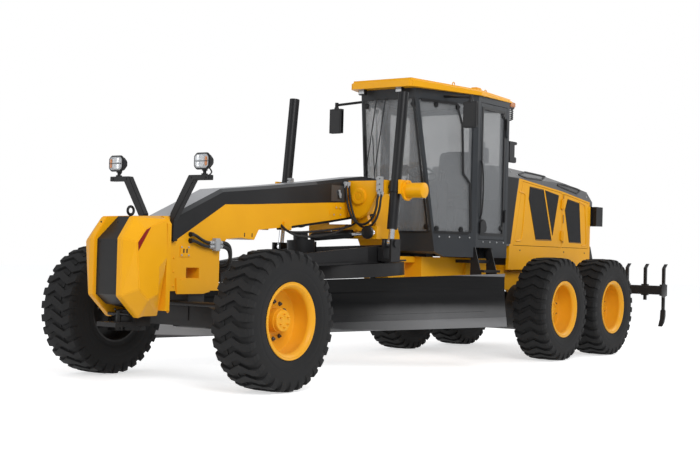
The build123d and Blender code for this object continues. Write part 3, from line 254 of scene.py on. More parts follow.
FINISH_STARTS = {
    "yellow": ("rear_chassis", "hood_shell", "hood_door", "cab_roof", "front_column", "neck_beam", "neck_rear",
               "nose_cheeks", "lift_saddle"),
    "chrome": ("steer_rod", "lift_rods", "centre_shift_rod", "ripper_rod"),
    "grey": ("cab_frame", "cab_base", "cab_door"), "tyre": ("tyre",), "rim": ("rim",), "blade": ("moldboard",),
    "cowl": ("hood_cowl",), "cast": ("engine_block",), "seat": ("operator_station",), "hose": ("frame_hoses",),
}


def finish_of(node):
    """Glass for every pane, black for a node whose name starts with none of the words above."""
    if "glass" in node:
        return "glass"
    found = [finish for finish, starts in FINISH_STARTS.items() if node.startswith(starts)]
    return found[0] if found else "black"


for name, shape in NODES.items():
    shape.data.materials.clear()
    shape.data.materials.append(FINISHES[finish_of(name)])


# ---------------- mesh helpers
WELD = 0.00005            # points closer than this are one, in metres
SHARP = 0.5               # an edge that turns by more than this is cut or rounded, in radians


def shape_from(name, points, faces, finish, smooth=False):
    """A mesh object from points and faces, with its place in its mesh."""
    data = bpy.data.meshes.new(name)
    data.from_pydata([tuple(p) for p in points], [], faces)
    made = bmesh.new()
    made.from_mesh(data)
    bmesh.ops.remove_doubles(made, verts=made.verts, dist=WELD)
    bmesh.ops.recalc_face_normals(made, faces=made.faces)
    made.to_mesh(data)
    made.free()
    data.materials.append(FINISHES[finish])
    data.shade_smooth() if smooth else data.shade_flat()
    return shown(name, data)


def shown(name, data):
    """An object in the scene for a mesh or a lamp."""
    piece = bpy.data.objects.new(name, data)
    bpy.context.collection.objects.link(piece)
    return piece


def skin(rows, count, around=True, closed=True):
    """Quads between rows of count points; around joins the last row to the first, closed joins a row's ends."""
    faces = []
    for i in range(rows if around else rows - 1):
        near, far = i * count, (i + 1) % rows * count
        for k in range(count if closed else count - 1):
            nxt = (k + 1) % count
            faces.append((near + k, near + nxt, far + nxt, far + k))
    return faces


def capped(rows):
    """The skin of a bar of four-cornered rows, with its two ends."""
    last = 4 * (rows - 1)
    return skin(rows, 4, around=False) + [(0, 1, 2, 3), (last + 3, last + 2, last + 1, last)]


def circle(count, radius, start=0.0):
    """Pairs of coordinates evenly round a circle."""
    angles = [start + 2 * math.pi * k / count for k in range(count)]
    return [(radius * math.cos(a), radius * math.sin(a)) for a in angles]


def turned(name, profile, finish, steps):
    """A ring shape: the closed (across, radius) profile turned about the Y axis."""
    points = []
    for i in range(steps):
        angle = 2 * math.pi * i / steps
        points += [(r * math.sin(angle), y, r * math.cos(angle)) for y, r in profile]
    made = shape_from(name, points, skin(steps, len(profile)), finish, smooth=True)
    made.data.set_sharp_from_angle(angle=math.radians(35))
    return made


def joined(pieces, name):
    with bpy.context.temp_override(active_object=pieces[0], selected_editable_objects=pieces):
        bpy.ops.object.join()
    pieces[0].name = pieces[0].data.name = name
    return pieces[0]


def moved(piece, matrix, flip=False):
    piece.data.transform(matrix)
    if flip:
        piece.data.flip_normals()
    return piece


SIDES = (("left", 1), ("right", -1))
MIRROR = Matrix.Diagonal((1, -1, 1, 1))


def sided(piece, side):
    """The piece itself on the left, its mirror image on the right."""
    return piece if side > 0 else moved(piece, MIRROR, True)


def twin_of(piece):
    """The same piece on the other side of the centre plane."""
    return moved(shown(piece.name, piece.data.copy()), MIRROR, True)


def fitted(piece, body):
    """Hands a finished piece to the body it moves with."""
    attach(piece, body)
    return piece


def stands_for(piece, body, node):
    """Hands a finished piece to its body in the place of a node."""
    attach(piece, body)
    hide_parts(node)


# ---------------- repeated pieces
class Tree:
    """A geometry node tree with named inputs."""

    def __init__(self, name, **inputs):
        self.tree = bpy.data.node_groups.new(name, "GeometryNodeTree")
        face = self.tree.interface
        for way in ("OUTPUT", "INPUT"):
            face.new_socket("Geometry", in_out=way, socket_type="NodeSocketGeometry")
        self.keys = {}
        for key, kind in inputs.items():
            self.keys[key] = face.new_socket(key, in_out="INPUT", socket_type="NodeSocket" + kind).identifier
        self.given = self.add("NodeGroupInput", {})

    def add(self, kind, sockets, **settings):
        """A new node's outputs."""
        node = self.tree.nodes.new(kind)
        for key, setting in settings.items():
            setattr(node, key, setting)
        for key, value in sockets.items():
            if isinstance(value, bpy.types.NodeSocket):
                self.tree.links.new(value, node.inputs[key])
            else:
                node.inputs[key].default_value = value
        return node.outputs

    def close(self, geometry):
        real = self.add("GeometryNodeRealizeInstances", {"Geometry": geometry})[0]
        finished = self.add("GeometryNodeSetMaterial", {"Geometry": real, "Material": self.given["Finish"]})[0]
        self.add("NodeGroupOutput", {"Geometry": finished})

    def run(self, name, finish, **values):
        """The tree's result as a plain mesh object."""
        host = shown(name, bpy.data.meshes.new(name))
        change = host.modifiers.new("repeat", "NODES")
        change.node_group = self.tree
        for key, value in values.items():
            change[self.keys[key]] = value
        change[self.keys["Finish"]] = FINISHES[finish]
        bpy.context.view_layer.update()
        result = bpy.data.meshes.new_from_object(host.evaluated_get(bpy.context.evaluated_depsgraph_get()))
        host.modifiers.clear()
        host.data = result
        result.name = name
        return host


def ring_tree():
    """A piece repeated in a ring about the Y axis."""
    tree = Tree("ring_of_pieces", Piece="Object", Count="Int", Finish="Material")
    spots = tree.add("GeometryNodeMeshLine", {"Count": tree.given["Count"], "Offset": (0, 0, 0)})[0]
    step = tree.add("ShaderNodeMath", {0: 2 * math.pi, 1: tree.given["Count"]}, operation="DIVIDE")[0]
    index = tree.add("GeometryNodeInputIndex", {})[0]
    angle = tree.add("ShaderNodeMath", {0: index, 1: step}, operation="MULTIPLY")[0]
    turn = tree.add("ShaderNodeCombineXYZ", {"Y": angle})[0]
    piece = tree.add("GeometryNodeObjectInfo", {"Object": tree.given["Piece"]})["Geometry"]
    tree.close(tree.add("GeometryNodeInstanceOnPoints", {"Points": spots, "Instance": piece, "Rotation": turn})[0])
    return tree


RING = ring_tree()


def dropped(*pieces):
    for piece in pieces:
        bpy.data.objects.remove(piece)


# ---------------- tyres
TYRE_R = 0.648
TREAD_BARS = 30
# across the tyre: side place and radius of the casing, place and radius of the bar's top, its swing and half length
BAR_END = [(-0.203, 0.520, -0.211, 0.522, 0.000, 0.030), (-0.207, 0.565, -0.2185, 0.572, 0.000, 0.032),
           (-0.196, 0.596, -0.215, 0.610, 0.000, 0.034), (-0.176, 0.607, -0.196, 0.638, 0.002, 0.036)]
BAR = BAR_END + [(-0.105, 0.612, -0.105, 0.6455, 0.040, 0.036), (0.040, 0.613, 0.040, 0.6475, -0.034, 0.038),
                 (0.128, 0.612, 0.128, 0.6445, 0.016, 0.036)]
BAR += [(-y, r, -top_y, top_r, 0.020, half) for y, r, top_y, top_r, _, half in reversed(BAR_END)]
CASING = [(0.180, 0.318), (0.1935, 0.322), (0.1945, 0.352), (0.196, 0.366), (0.203, 0.376), (0.206, 0.395),
          (0.213, 0.425), (0.2165, 0.455), (0.2155, 0.459), (0.2165, 0.463), (0.2165, 0.500), (0.2135, 0.540),
          (0.2105, 0.572), (0.2010, 0.600), (0.180, 0.6155), (0.120, 0.6215), (0.050, 0.6235)]
TIE = ((0.615, 0.02), (0.632, 0.03), (0.632, 0.10), (0.615, 0.11))      # radius and place along the tread
TIE_SIDES = (-0.066, -0.050)
BAR_SUNK = 0.006          # how far a bar's foot goes into the casing, and stands out along the tread


def ring_point(y, radius, along):
    """A point on a ring about the Y axis, at a length along the ring from its top."""
    angle = along / TYRE_R
    return (radius * math.sin(angle), y, radius * math.cos(angle))


def tread_bar():
    points = []
    for side_y, side_r, top_y, top_r, swing, half in BAR:
        foot_y, foot_r, foot = side_y * 0.97, side_r - BAR_SUNK, half + BAR_SUNK
        points += [ring_point(foot_y, foot_r, swing - foot), ring_point(top_y, top_r, swing - half),
                   ring_point(top_y, top_r, swing + half), ring_point(foot_y, foot_r, swing + foot)]
    return shape_from("tread_bar", points, capped(len(BAR)), "tyre")


def tie_bar():
    """Small ridge that links two tread bars in the groove."""
    points = [ring_point(y, r, along) for y in TIE_SIDES for r, along in TIE]
    return shape_from("tie_bar", points, capped(len(TIE_SIDES)), "tyre")


def on_wheel(piece, node):
    """Moves a piece made about the Y axis to its wheel, outer face outwards, in the place of the wheel's node."""
    wheel = node.split("_", 1)[1]
    low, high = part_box("tyre_" + wheel)
    centre = (low + high) / 2
    side = 1 if centre.y > 0 else -1
    moved(piece, Matrix.Translation(centre) @ Matrix.Diagonal((1, side, 1, 1)), side < 0)
    stands_for(piece, "wheel_" + wheel, node)


def tyres():
    outer = CASING + [(-y, r) for y, r in reversed(CASING)]
    bar, tie = tread_bar(), tie_bar()
    for name in [n for n in NODES if n.startswith("tyre_")]:
        parts = [turned("casing_" + name, outer, "tyre", 120),
                 RING.run("bars_" + name, "tyre", Piece=bar, Count=TREAD_BARS),
                 RING.run("ties_" + name, "tyre", Piece=tie, Count=TREAD_BARS)]
        on_wheel(joined(parts, "treaded_" + name), name)
    dropped(bar, tie)


tyres()


# ---------------- placing and small makers
DATUM_X = 2188.5          # the tandem's middle lies this far behind the frame's origin, in mm


def at(x, y, z):
    """A point given in millimetres from the tandem's middle, the centre plane and the ground."""
    return Vector(((x - DATUM_X) / 1000, y / 1000, z / 1000))


def bevelled(piece, width, segments=2):
    made = bmesh.new()
    made.from_mesh(piece.data)
    sharp = [e for e in made.edges if len(e.link_faces) == 2 and e.calc_face_angle(0) > SHARP]
    bmesh.ops.bevel(made, geom=sharp, offset=width / 1000, segments=segments, affect="EDGES", clamp_overlap=True)
    made.to_mesh(piece.data)
    made.free()
    return piece


def prism(name, outline, across, a, b, finish, bevel=3.0):
    """An outline in mm pushed from a to b across a plane: "y" outlines are (x, z), "x" outlines are (y, z)."""
    def spot(p, depth):
        return at(p[0], depth, p[1]) if across == "y" else at(depth, p[0], p[1])
    count = len(outline)
    points = [spot(p, depth) for depth in (a, b) for p in outline]
    ends = [tuple(range(count)), tuple(range(2 * count - 1, count - 1, -1))]
    piece = shape_from(name, points, ends + skin(2, count, around=False), finish)
    return bevelled(piece, bevel) if bevel else piece


def slab(name, x, y, z, finish, bevel=3.0):
    """A bevelled block between pairs of x, y and z in mm."""
    return prism(name, [(x[0], z[0]), (x[1], z[0]), (x[1], z[1]), (x[0], z[1])], "y", *sorted(y), finish, bevel)


def slabs(*rows):
    return [slab(*row) for row in rows]


def lathe(name, start, end, profile, finish, steps=24, smooth=True):
    """A turned piece about the line from start to end: profile of (share of the line's length, radius in mm)."""
    axis = end - start
    turn = Vector((0, 0, 1)).rotation_difference(axis.normalized()).to_matrix()
    points = []
    for c, s in circle(steps, 0.001):
        points += [start + turn @ Vector((c * r, s * r, share * axis.length)) for share, r in profile]
    piece = shape_from(name, points, skin(steps, len(profile), closed=False), finish, smooth)
    made = bmesh.new()
    made.from_mesh(piece.data)
    bmesh.ops.holes_fill(made, edges=[e for e in made.edges if e.is_boundary])
    bmesh.ops.recalc_face_normals(made, faces=made.faces)
    made.to_mesh(piece.data)
    made.free()
    if smooth:
        piece.data.set_sharp_from_angle(angle=math.radians(40))
    return piece


def pipe(name, points, radius, finish, steps=10):
    """A round pipe along a smooth line through control points, as a mesh with closed ends."""
    line = bpy.data.curves.new(name, "CURVE")
    line.dimensions = "3D"
    run = line.splines.new("NURBS")
    run.points.add(len(points) - 1)
    for spot, point in zip(run.points, points):
        spot.co = (*point, 1)
    run.order_u = 3
    run.use_endpoint_u = True
    run.resolution_u = 6
    line.bevel_depth = radius / 1000
    line.bevel_resolution = max(1, steps // 4)
    line.use_fill_caps = True
    holder = shown(name, line)
    data = bpy.data.meshes.new_from_object(holder.evaluated_get(bpy.context.evaluated_depsgraph_get()))
    bpy.data.objects.remove(holder)
    data.materials.clear()
    data.materials.append(FINISHES[finish])
    data.shade_smooth()
    return shown(name, data)


def screw(name, centre, axis, size, height, finish="black"):
    """A hexagon screw head standing on a face."""
    tip = centre + Vector(axis).normalized() * height / 1000
    profile = [(0.0, size * 1.25), (0.18, size * 1.25), (0.18, size), (0.8, size), (1.0, size * 0.8)]
    return lathe(name, centre, tip, profile, finish, steps=6, smooth=False)


def screws(name, spots, axis, size, height, finish="black"):
    """Screw heads at points given in mm."""
    return [screw(name, at(*spot), axis, size, height, finish) for spot in spots]


def fitting(name, start, end, profile):
    """A silver hose fitting with flats."""
    return lathe(name, start, end, profile, "silver", 8, False)


# ---------------- engine hood
DOOR_Y = 520
VENTS = {"hood_door_front": [[(220, 2222), (-163, 2203), (-420, 1538), (27, 1533), (241, 2065)],
                             [(-224, 2199), (-622, 2153), (-461, 1608)]],
         "hood_door_rear": [[(-914, 2114), (-1274, 2075), (-1349, 1520), (-982, 1523), (-839, 1961)]]}
PULLS = {"hood_door_front": [(512, 2142), (430, 2142), (352, 2120), (352, 2060), (400, 1660), (425, 1530),
                             (470, 1500), (584, 1500)],
         "hood_door_rear": [(-1284, 2096), (-1400, 2080), (-1468, 2060), (-1480, 1960), (-1530, 1640),
                            (-1535, 1500), (-1480, 1482), (-1385, 1479)]}


def vent(name, outline):
    """A black perforated panel set in a hood door, with its rim."""
    parts = [prism(name, outline, "y", DOOR_Y - 6, DOOR_Y + 3, "mesh", 2.0)]
    middle_x = sum(x for x, z in outline) / len(outline)
    middle_z = sum(z for x, z in outline) / len(outline)
    grown = [(middle_x + (x - middle_x) * 1.03, middle_z + (z - middle_z) * 1.02) for x, z in outline]
    for a, b in zip(grown, grown[1:] + grown[:1]):
        run = [a, ((a[0] + b[0]) / 2, (a[1] + b[1]) / 2), b]
        parts.append(pipe(name + "_rim", [at(x, DOOR_Y + 1, z) for x, z in run], 4, "black", 6))
    return joined(parts, name)


def hood_trim():
    for word, side in SIDES:
        for door, outlines in VENTS.items():
            body = door + "_" + word
            for k, outline in enumerate(outlines):
                fitted(sided(vent("%s_vent_%d" % (body, k), outline), side), body)
            groove = pipe(body + "_pull", [at(x, DOOR_Y + 1, z) for x, z in PULLS[door]], 9, "yellow", 8)
            fitted(sided(groove, side), body)


hood_trim()


# ---------------- wheels
# for each kind: place of the disc, hub beyond it as (across, radius), number of nuts and radius of their circle
RIMS = {"front": (-0.012, [(0.052, 0.110), (0.070, 0.110), (0.072, 0.104), (0.104, 0.100), (0.110, 0.094),
                           (0.110, 0.0)], 12, 0.170),
        "tandem": (-0.032, [(0.030, 0.110), (0.034, 0.108), (0.036, 0.080), (0.040, 0.074), (0.040, 0.0)],
                   10, 0.200)}
RIM_FLANGE = [(-0.193, 0.304), (-0.193, 0.350), (-0.1885, 0.3548), (-0.183, 0.3548), (-0.180, 0.350),
              (-0.180, 0.3165), (0.180, 0.3165), (0.180, 0.345), (0.190, 0.3535), (0.199, 0.3545), (0.2035, 0.351),
              (0.2035, 0.346), (0.1995, 0.341), (0.1985, 0.336), (0.2005, 0.332), (0.2005, 0.328), (0.1985, 0.325),
              (0.196, 0.3215), (0.190, 0.314), (0.182, 0.306), (0.172, 0.300), (0.160, 0.2955), (0.152, 0.2945),
              (0.142, 0.2965), (0.130, 0.3005), (0.08, 0.3035)]
NUT = [(0, 1.3), (0.15, 1.3), (0.15, 1.0), (0.8, 1.0), (1.0, 0.7), (1.0, 0.4), (1.5, 0.4)]
BARREL_R, INNER_LIP_Y = 0.304, -0.175


def wheel_nut(y, radius, size):
    start = Vector((0, y, radius))
    profile = [(share, size * wide) for share, wide in NUT]
    return lathe("wheel_nut", start, start + Vector((0, 0.02, 0)), profile, "rim", 6, False)


def wheel_rim(name, disc, hub):
    """The turned steel of a wheel, black on its inner side."""
    profile = RIM_FLANGE + [(disc + 0.02, 0.3035), (disc + 0.006, 0.297), (disc, 0.285), (disc, 0.150),
                            (disc + 0.006, 0.142), (disc + 0.006, 0.112)]
    profile += hub + [(disc - 0.018, 0.0), (disc - 0.018, BARREL_R)]
    whole = turned(name, profile, "rim", 96)
    steel = whole.data
    steel.materials.append(FINISHES["black"])
    for face in steel.polygons:
        reach = max(math.hypot(steel.vertices[k].co.x, steel.vertices[k].co.z) for k in face.vertices)
        if face.center.y < disc - 0.012 and (reach < BARREL_R + 0.002 or face.center.y < INNER_LIP_Y):
            face.material_index = 1
    return whole


def rims():
    for name in [n for n in NODES if n.startswith("rim_")]:
        disc, hub, count, nut_r = RIMS["tandem" if "tandem" in name else "front"]
        nut, cap_bolt = wheel_nut(disc, nut_r, 17), wheel_nut(hub[-1][0], 0.060, 7)
        parts = [wheel_rim("wheel_" + name, disc, hub),
                 # the nuts are slate, darker than the rim, as painted shade
                 RING.run("nuts_" + name, "slate", Piece=nut, Count=count),
                 RING.run("cap_bolts_" + name, "rim", Piece=cap_bolt, Count=6)]
        on_wheel(joined(parts, "dressed_" + name), name)
        dropped(nut, cap_bolt)


rims()


# ---------------- cab trim
CAB_HALF = 700
DOOR_EDGES = (1280, 1831, 1556, 3090)       # the door glass: back, front, foot and head
DOOR_HANDLE = [(1845, 1560), (1872, 1560), (1872, 1700), (1800, 1740), (1740, 1720), (1705, 1640), (1720, 1585),
               (1800, 1570)]
QUARTER_X = 1934                            # rear edge of the slanted quarter panel
QUARTER_RUN = (934, -313)                   # from there to its front edge, along and across
QUARTER_OUT = Vector((-QUARTER_RUN[1], QUARTER_RUN[0], 0)).normalized()
QUARTER_SEAL = [(2560, 1556), (2060, 1556), (2012, 1600), (2040, 2150), (2150, 2270), (2180, 2850), (2270, 3100),
                (2790, 3100)]
QUARTER_KNOBS = [(2560, 3060), (2240, 3060), (2510, 1600), (2150, 1600)]
WINDSCREEN = (2582, 1540, 286 / 1660)       # x and z of its foot, and how far it leans forward for each mm up
WINDSCREEN_SEAL = [(-425, 1556), (425, 1556), (345, 3112), (-345, 3112), (-425, 1556)]
WINDSCREEN_KNOBS = [(330, 3050), (-330, 3050), (395, 1620), (-395, 1620)]
ROOF_Z = 3322


def knob(name, centre, axis):
    tip = centre + Vector(axis).normalized() * 0.022
    return lathe(name, centre, tip, [(0, 34), (0.3, 34), (0.6, 30), (0.7, 20), (1.0, 18)], "trim", 20)


def door_seal(name, width=16, lift=5):
    """A flat rubber seal round the glass of a door."""
    x0, x1, z0, z1 = DOOR_EDGES
    y = (CAB_HALF, CAB_HALF + lift)
    parts = [slab(name, (x - width, x + width), y, (z0 - width, z1 + width), "trim", 1.5) for x in (x0, x1)]
    parts += [slab(name, (x0 + width, x1 - width), y, (z - width, z + width), "trim", 1.5) for z in (z0, z1)]
    return joined(parts, name)


def cab_doors():
    for word, side in SIDES:
        body = "cab_door_" + word
        parts = [door_seal(body + "_seal")]
        for z in ((2866, 3010), (1712, 1856)):
            parts.append(slab(body + "_hinge_cover", (1240, 1275), (CAB_HALF, CAB_HALF + 26), z, "trim", 6))
        parts += [knob(body + "_knob", at(1310, CAB_HALF - 16, z), (0, 1, 0)) for z in (3050, 1640)]
        parts.append(prism(body + "_handle", DOOR_HANDLE, "y", CAB_HALF, CAB_HALF + 24, "trim", 8))
        bar = [at(1850, CAB_HALF + out, z) for out, z in ((4, 1740), (40, 1790), (40, 2400), (4, 2450))]
        parts.append(pipe(body + "_pull_bar", bar, 9, "trim", 8))
        fitted(sided(joined(parts, body + "_trim"), side), body)


def quarter_point(x, z, out=0.0):
    """A point on the slanted quarter panel of the cab, a distance outside its face."""
    y = CAB_HALF + (x - QUARTER_X) * QUARTER_RUN[1] / QUARTER_RUN[0]
    return at(x, y, z) + QUARTER_OUT * out / 1000


def windscreen_point(y, z, out=0.0):
    x, foot, lean = WINDSCREEN
    return at(x + (z - foot) * lean + out, y, z)


def strip(name, points, half, lift, finish):
    """A flat band along points, with its lift given as a vector."""
    rows = []
    for k, point in enumerate(points):
        ahead = (points[min(k + 1, len(points) - 1)] - points[max(k - 1, 0)]).normalized()
        across = ahead.cross(lift).normalized() * half / 1000
        rows += [point - across, point - across + lift, point + across + lift, point + across]
    return shape_from(name, rows, capped(len(points)), finish)


def cab_glazing_trim():
    seal = [quarter_point(x, z, 1) for x, z in QUARTER_SEAL]
    parts = [strip("quarter_seal", seal, 16, QUARTER_OUT * 0.005, "trim")]
    parts += [knob("quarter_knob", quarter_point(x, z, -18), QUARTER_OUT) for x, z in QUARTER_KNOBS]
    left = fitted(joined(parts, "quarter_trim_left"), "rear_frame")
    fitted(twin_of(left), "rear_frame").name = "quarter_trim_right"
    seal = [windscreen_point(y, z, 2) for y, z in WINDSCREEN_SEAL]
    parts = [strip("windscreen_seal", seal, 14, Vector((0.005, 0, 0)), "trim")]
    parts += [knob("windscreen_knob", windscreen_point(y, z, -18), (1, 0, -0.17)) for y, z in WINDSCREEN_KNOBS]
    for y in (-150, -20):
        arm = [windscreen_point(y, 3130, 30), windscreen_point(y - 60, 2900, 34), windscreen_point(y - 250, 2230, 22)]
        blade = [windscreen_point(y - aside, z, 16) for aside, z in ((235, 2700), (250, 2300), (250, 1900))]
        parts += [pipe("wiper_arm", arm, 7, "trim", 6), pipe("wiper_blade", blade, 6, "trim", 6)]
    fitted(joined(parts, "windscreen_trim"), "rear_frame")


def lifting_eye(x, y):
    """The foot and the loop of a lifting eye on the roof."""
    base = at(x, y, ROOF_Z)
    foot = lathe("lifting_eye_foot", base, base + Vector((0, 0, 0.03)), [(0, 16), (1, 12)], "yellow", 12)
    round_it = circle(12, 0.026, -math.pi / 2)
    loop = [base + Vector((a, 0, 0.052 + b)) for a, b in round_it + round_it[:1]]
    return [foot, pipe("lifting_eye_loop", loop, 6, "yellow", 8)]


def cab_top():
    parts = []
    for x, y in ((2011, 380), (1226, 380), (2011, -380), (1226, -380)):
        parts += lifting_eye(x, y)
    parts.append(slab("beacon_foot", (1400, 1530), (330, 430), (ROOF_Z + 3, 3400), "yellow", 12))
    fitted(joined(parts, "roof_fittings"), "rear_frame")
    lamps = []
    for y in (225, -305):
        lamps += slabs(("work_lamp_case", (2930, 2985), (y - 48, y + 48), (3165, 3262), "trim", 8),
                       ("work_lamp_glass", (2984, 2990), (y - 40, y + 40), (3175, 3252), "lens", 5),
                       ("work_lamp_bar", (2988, 2994), (y - 42, y + 42), (3209, 3216), "trim", 1))
    fitted(joined(lamps, "roof_lamps"), "rear_frame")


def mirrors():
    parts = slabs(("mirror_case", (2548, 2602), (872, 1058), (2765, 3075), "trim", 24),
                  ("mirror_glass", (2544, 2549), (890, 1040), (2785, 3055), "mirror", 2))
    clamp = [(0, 30), (0.5, 30), (1, 22)]
    parts.append(lathe("mirror_clamp", at(2577, 965, 3064), at(2577, 965, 3100), clamp, "trim", 16))
    left = fitted(joined(parts, "mirror_left"), "rear_frame")
    fitted(twin_of(left), "rear_frame").name = "mirror_right"


cab_doors()
cab_glazing_trim()
cab_top()
mirrors()


# ---------------- neck and column
NECK_HALF = 170
CHAMFER = 38
NECK_FINISHES = ("yellow", "sheen", "slate", "black")
NECK_TOP = (2900, 6660)                     # the top's grey, a painted reflection on its black, runs between these, in mm along
SLATE_FROM = 4400                           # in front of this the cut edges are slate as painted reflection, behind it black
TOP_LOW = 1.55                              # no top face of the neck lies lower, in metres
UPWARD, SIDEWAYS, LEANING = 0.3, 0.98, 0.2  # least parts of a normal: of a top face, a side face and a cut edge
NODE_WELD, FLAT = 0.00002, 0.01             # triangles of a node's mesh are merged within these, in m and radians
BAND = [(6622, 1333), (5899, 1723), (5529, 1741), (4241, 1821), (3902, 1838), (3902, 2073), (4410, 2008),
        (5238, 1912), (5936, 1840), (6622, 1554)]
THIN_BAND = [(3902, 2030), (3750, 2030), (3330, 2062), (3330, 2110), (3549, 2119), (3902, 2073)]
GUSSET = [(6440, 1000), (6250, 1000), (6120, 935), (6095, 870), (6200, 850), (6560, 850), (6575, 1000), (6500, 985)]
PLATE_SCREWS = [(6406, 1216), (6502, 1216), (6406, 1292), (6502, 1292)]
COVER_SCREWS = [(4002, 1775), (4080, 1775), (4002, 1700), (4120, 1695), (3750, 1760)]
PORT = [(0, 24), (0.3, 24), (0.3, 19), (1, 19)]
SHORT_FITTING = [(0, 17), (0.35, 17), (0.35, 21), (0.6, 21), (0.6, 14), (1, 14)]
LONG_FITTING = [(0, 14), (0.4, 14), (0.4, 20), (0.7, 20), (0.7, 16), (1, 16)]
HATCH_FITTING = [(0, 12), (0.3, 14), (0.3, 18), (0.6, 18), (0.6, 12), (1, 12)]


def merged(name):
    """A copy of a node's mesh with its loose triangles merged into whole faces."""
    made = bmesh.new()
    made.from_mesh(NODES[name].data)
    bmesh.ops.remove_doubles(made, verts=made.verts, dist=NODE_WELD)
    bmesh.ops.dissolve_limit(made, angle_limit=FLAT, verts=made.verts, edges=made.edges)
    return made


def dressed_copy(made, name, finishes):
    data = bpy.data.meshes.new(name)
    for finish in finishes:
        data.materials.append(FINISHES[finish])
    made.to_mesh(data)
    made.free()
    data.shade_flat()
    return shown(name, data)


def is_top_edge(edge):
    """Whether an edge is between a side face and a top face of the neck."""
    if len(edge.link_faces) != 2:
        return False
    if not all(abs(abs(v.co.y) - NECK_HALF / 1000) < 0.0002 and v.co.z > TOP_LOW for v in edge.verts):
        return False
    normals = [f.normal for f in edge.link_faces]
    return any(abs(n.y) > SIDEWAYS for n in normals) and any(n.z > UPWARD for n in normals)


def chamfered_neck():
    """The neck with its top edges cut, its top grey as painted reflection on black, and the cuts slate as painted
    reflection in front and black behind.
    """
    for node in ("neck_beam", "front_column", "neck_rear"):
        made = merged(node)
        tops = [edge for edge in made.edges if is_top_edge(edge)]
        bmesh.ops.bevel(made, geom=tops, offset=CHAMFER / 1000, segments=1, affect="EDGES", clamp_overlap=True)
        made.normal_update()
        for face in made.faces:
            spot = face.calc_center_median()
            x = spot.x * 1000 + DATUM_X
            # a top face gets grey painted reflection; a cut edge gets slate painted reflection in front and black
            # behind
            if spot.z >= TOP_LOW and face.normal.z >= UPWARD and NECK_TOP[0] <= x <= NECK_TOP[1]:
                cut = "slate" if x > SLATE_FROM else "black"
                face.material_index = NECK_FINISHES.index(cut if abs(face.normal.y) > LEANING else "sheen")
        piece = dressed_copy(made, "dressed_" + node, NECK_FINISHES)
        stands_for(piece, "front_frame", node)


def column_trim():
    """Bands, plates and screws on both sides of the neck and column."""
    parts = []
    for side in (1, -1):
        for outline in (BAND, THIN_BAND):
            parts.append(prism("neck_band", outline, "y", side * NECK_HALF, side * (NECK_HALF + 2), "black", 0))
    fitted(joined(parts, "neck_bands"), "front_frame")
    for word, side in SIDES:
        parts = slabs(("column_plate", (6388, 6520), (170, 176), (1198, 1310), "yellow", 2),
                      ("clip", (4866, 4998), (120, 188), (1500, 1585), "yellow", 6),
                      ("cover_low", (3985, 4096), (170, 177), (1764, 1812), "yellow", 3),
                      ("cover_small", (4150, 4200), (170, 177), (1690, 1740), "yellow", 3))
        parts += [slab("flange_step", (x - 8, x + 8), (170, 175), (860, 900), "yellow", 1) for x in (6440, 6560)]
        parts += screws("plate_screw", [(x, 176, z) for x, z in PLATE_SCREWS], (0, 1, 0), 8, 7, "silver")
        parts += screws("cover_screw", [(x, 177, z) for x, z in COVER_SCREWS], (0, 1, 0), 7, 6, "silver")
        # black slots on the plate and the neck: painted shade standing for their openings
        parts += [slab("plate_slot", (x - 9, x + 9), (176, 177.5), (1238, 1276), "trim", 3) for x in (6431, 6475)]
        parts += [slab("neck_hook_slot", (x - 7, x + 7), (170, 171.5), (1412, 1452), "trim", 2) for x in (5600, 5484)]
        parts += screws("column_screw", [(6600, 170, z) for z in (930, 1060, 1190)], (0, 1, 0), 9, 8, "yellow")
        parts.append(prism("column_gusset", GUSSET, "y", 170, 182, "yellow", 3))
        fitted(sided(joined(parts, "column_trim_" + word), side), "front_frame")


def column_hoses():
    """The hatch and the hoses with their block, which are on the left alone."""
    parts = slabs(("hatch", (3925, 4175), (172, 175), (1842, 2020), "slate", 4),
                  # the hatch's black slot: painted shade standing for its opening
                  ("hatch_slot", (3990, 4060), (175, 178), (1870, 1950), "trim", 8))
    parts.append(lathe("hatch_fitting", at(4010, 178, 1885), at(4050, 190, 1965), HATCH_FITTING, "silver", 10))
    parts.append(slab("hose_block", (6010, 6078), (170, 224), (1264, 1386), "silver", 5))
    for z, drop in ((1415, 72), (1356, 52)):
        low = z - drop
        run = [(6389, 200, z), (6360, 204, z - 2), (6250, 204, z - drop * 0.75), (6180, 200, low),
               (6140, 198, low - 2)]
        parts += [lathe("hose_port", at(6389, 168, z), at(6389, 214, z), PORT, "trim", 14),
                  pipe("short_hose", [at(*p) for p in run], 15, "hose", 12),
                  fitting("hose_fitting", at(6145, 198, low - 2), at(6070, 198, low - 2), SHORT_FITTING)]
    for z, low in ((1343, 1120), (1304, 1075)):
        run = [(5965, 200, z + 2), (5905, 204, z), (5850, 206, z - 45), (5836, 200, low + 60), (5850, 165, low),
               (5880, 100, low - 10)]
        parts += [fitting("hose_fitting", at(6020, 198, z), at(5955, 200, z + 2), LONG_FITTING),
                  pipe("long_hose", [at(*p) for p in run], 19, "hose", 12)]
    fitted(joined(parts, "column_hoses"), "front_frame")


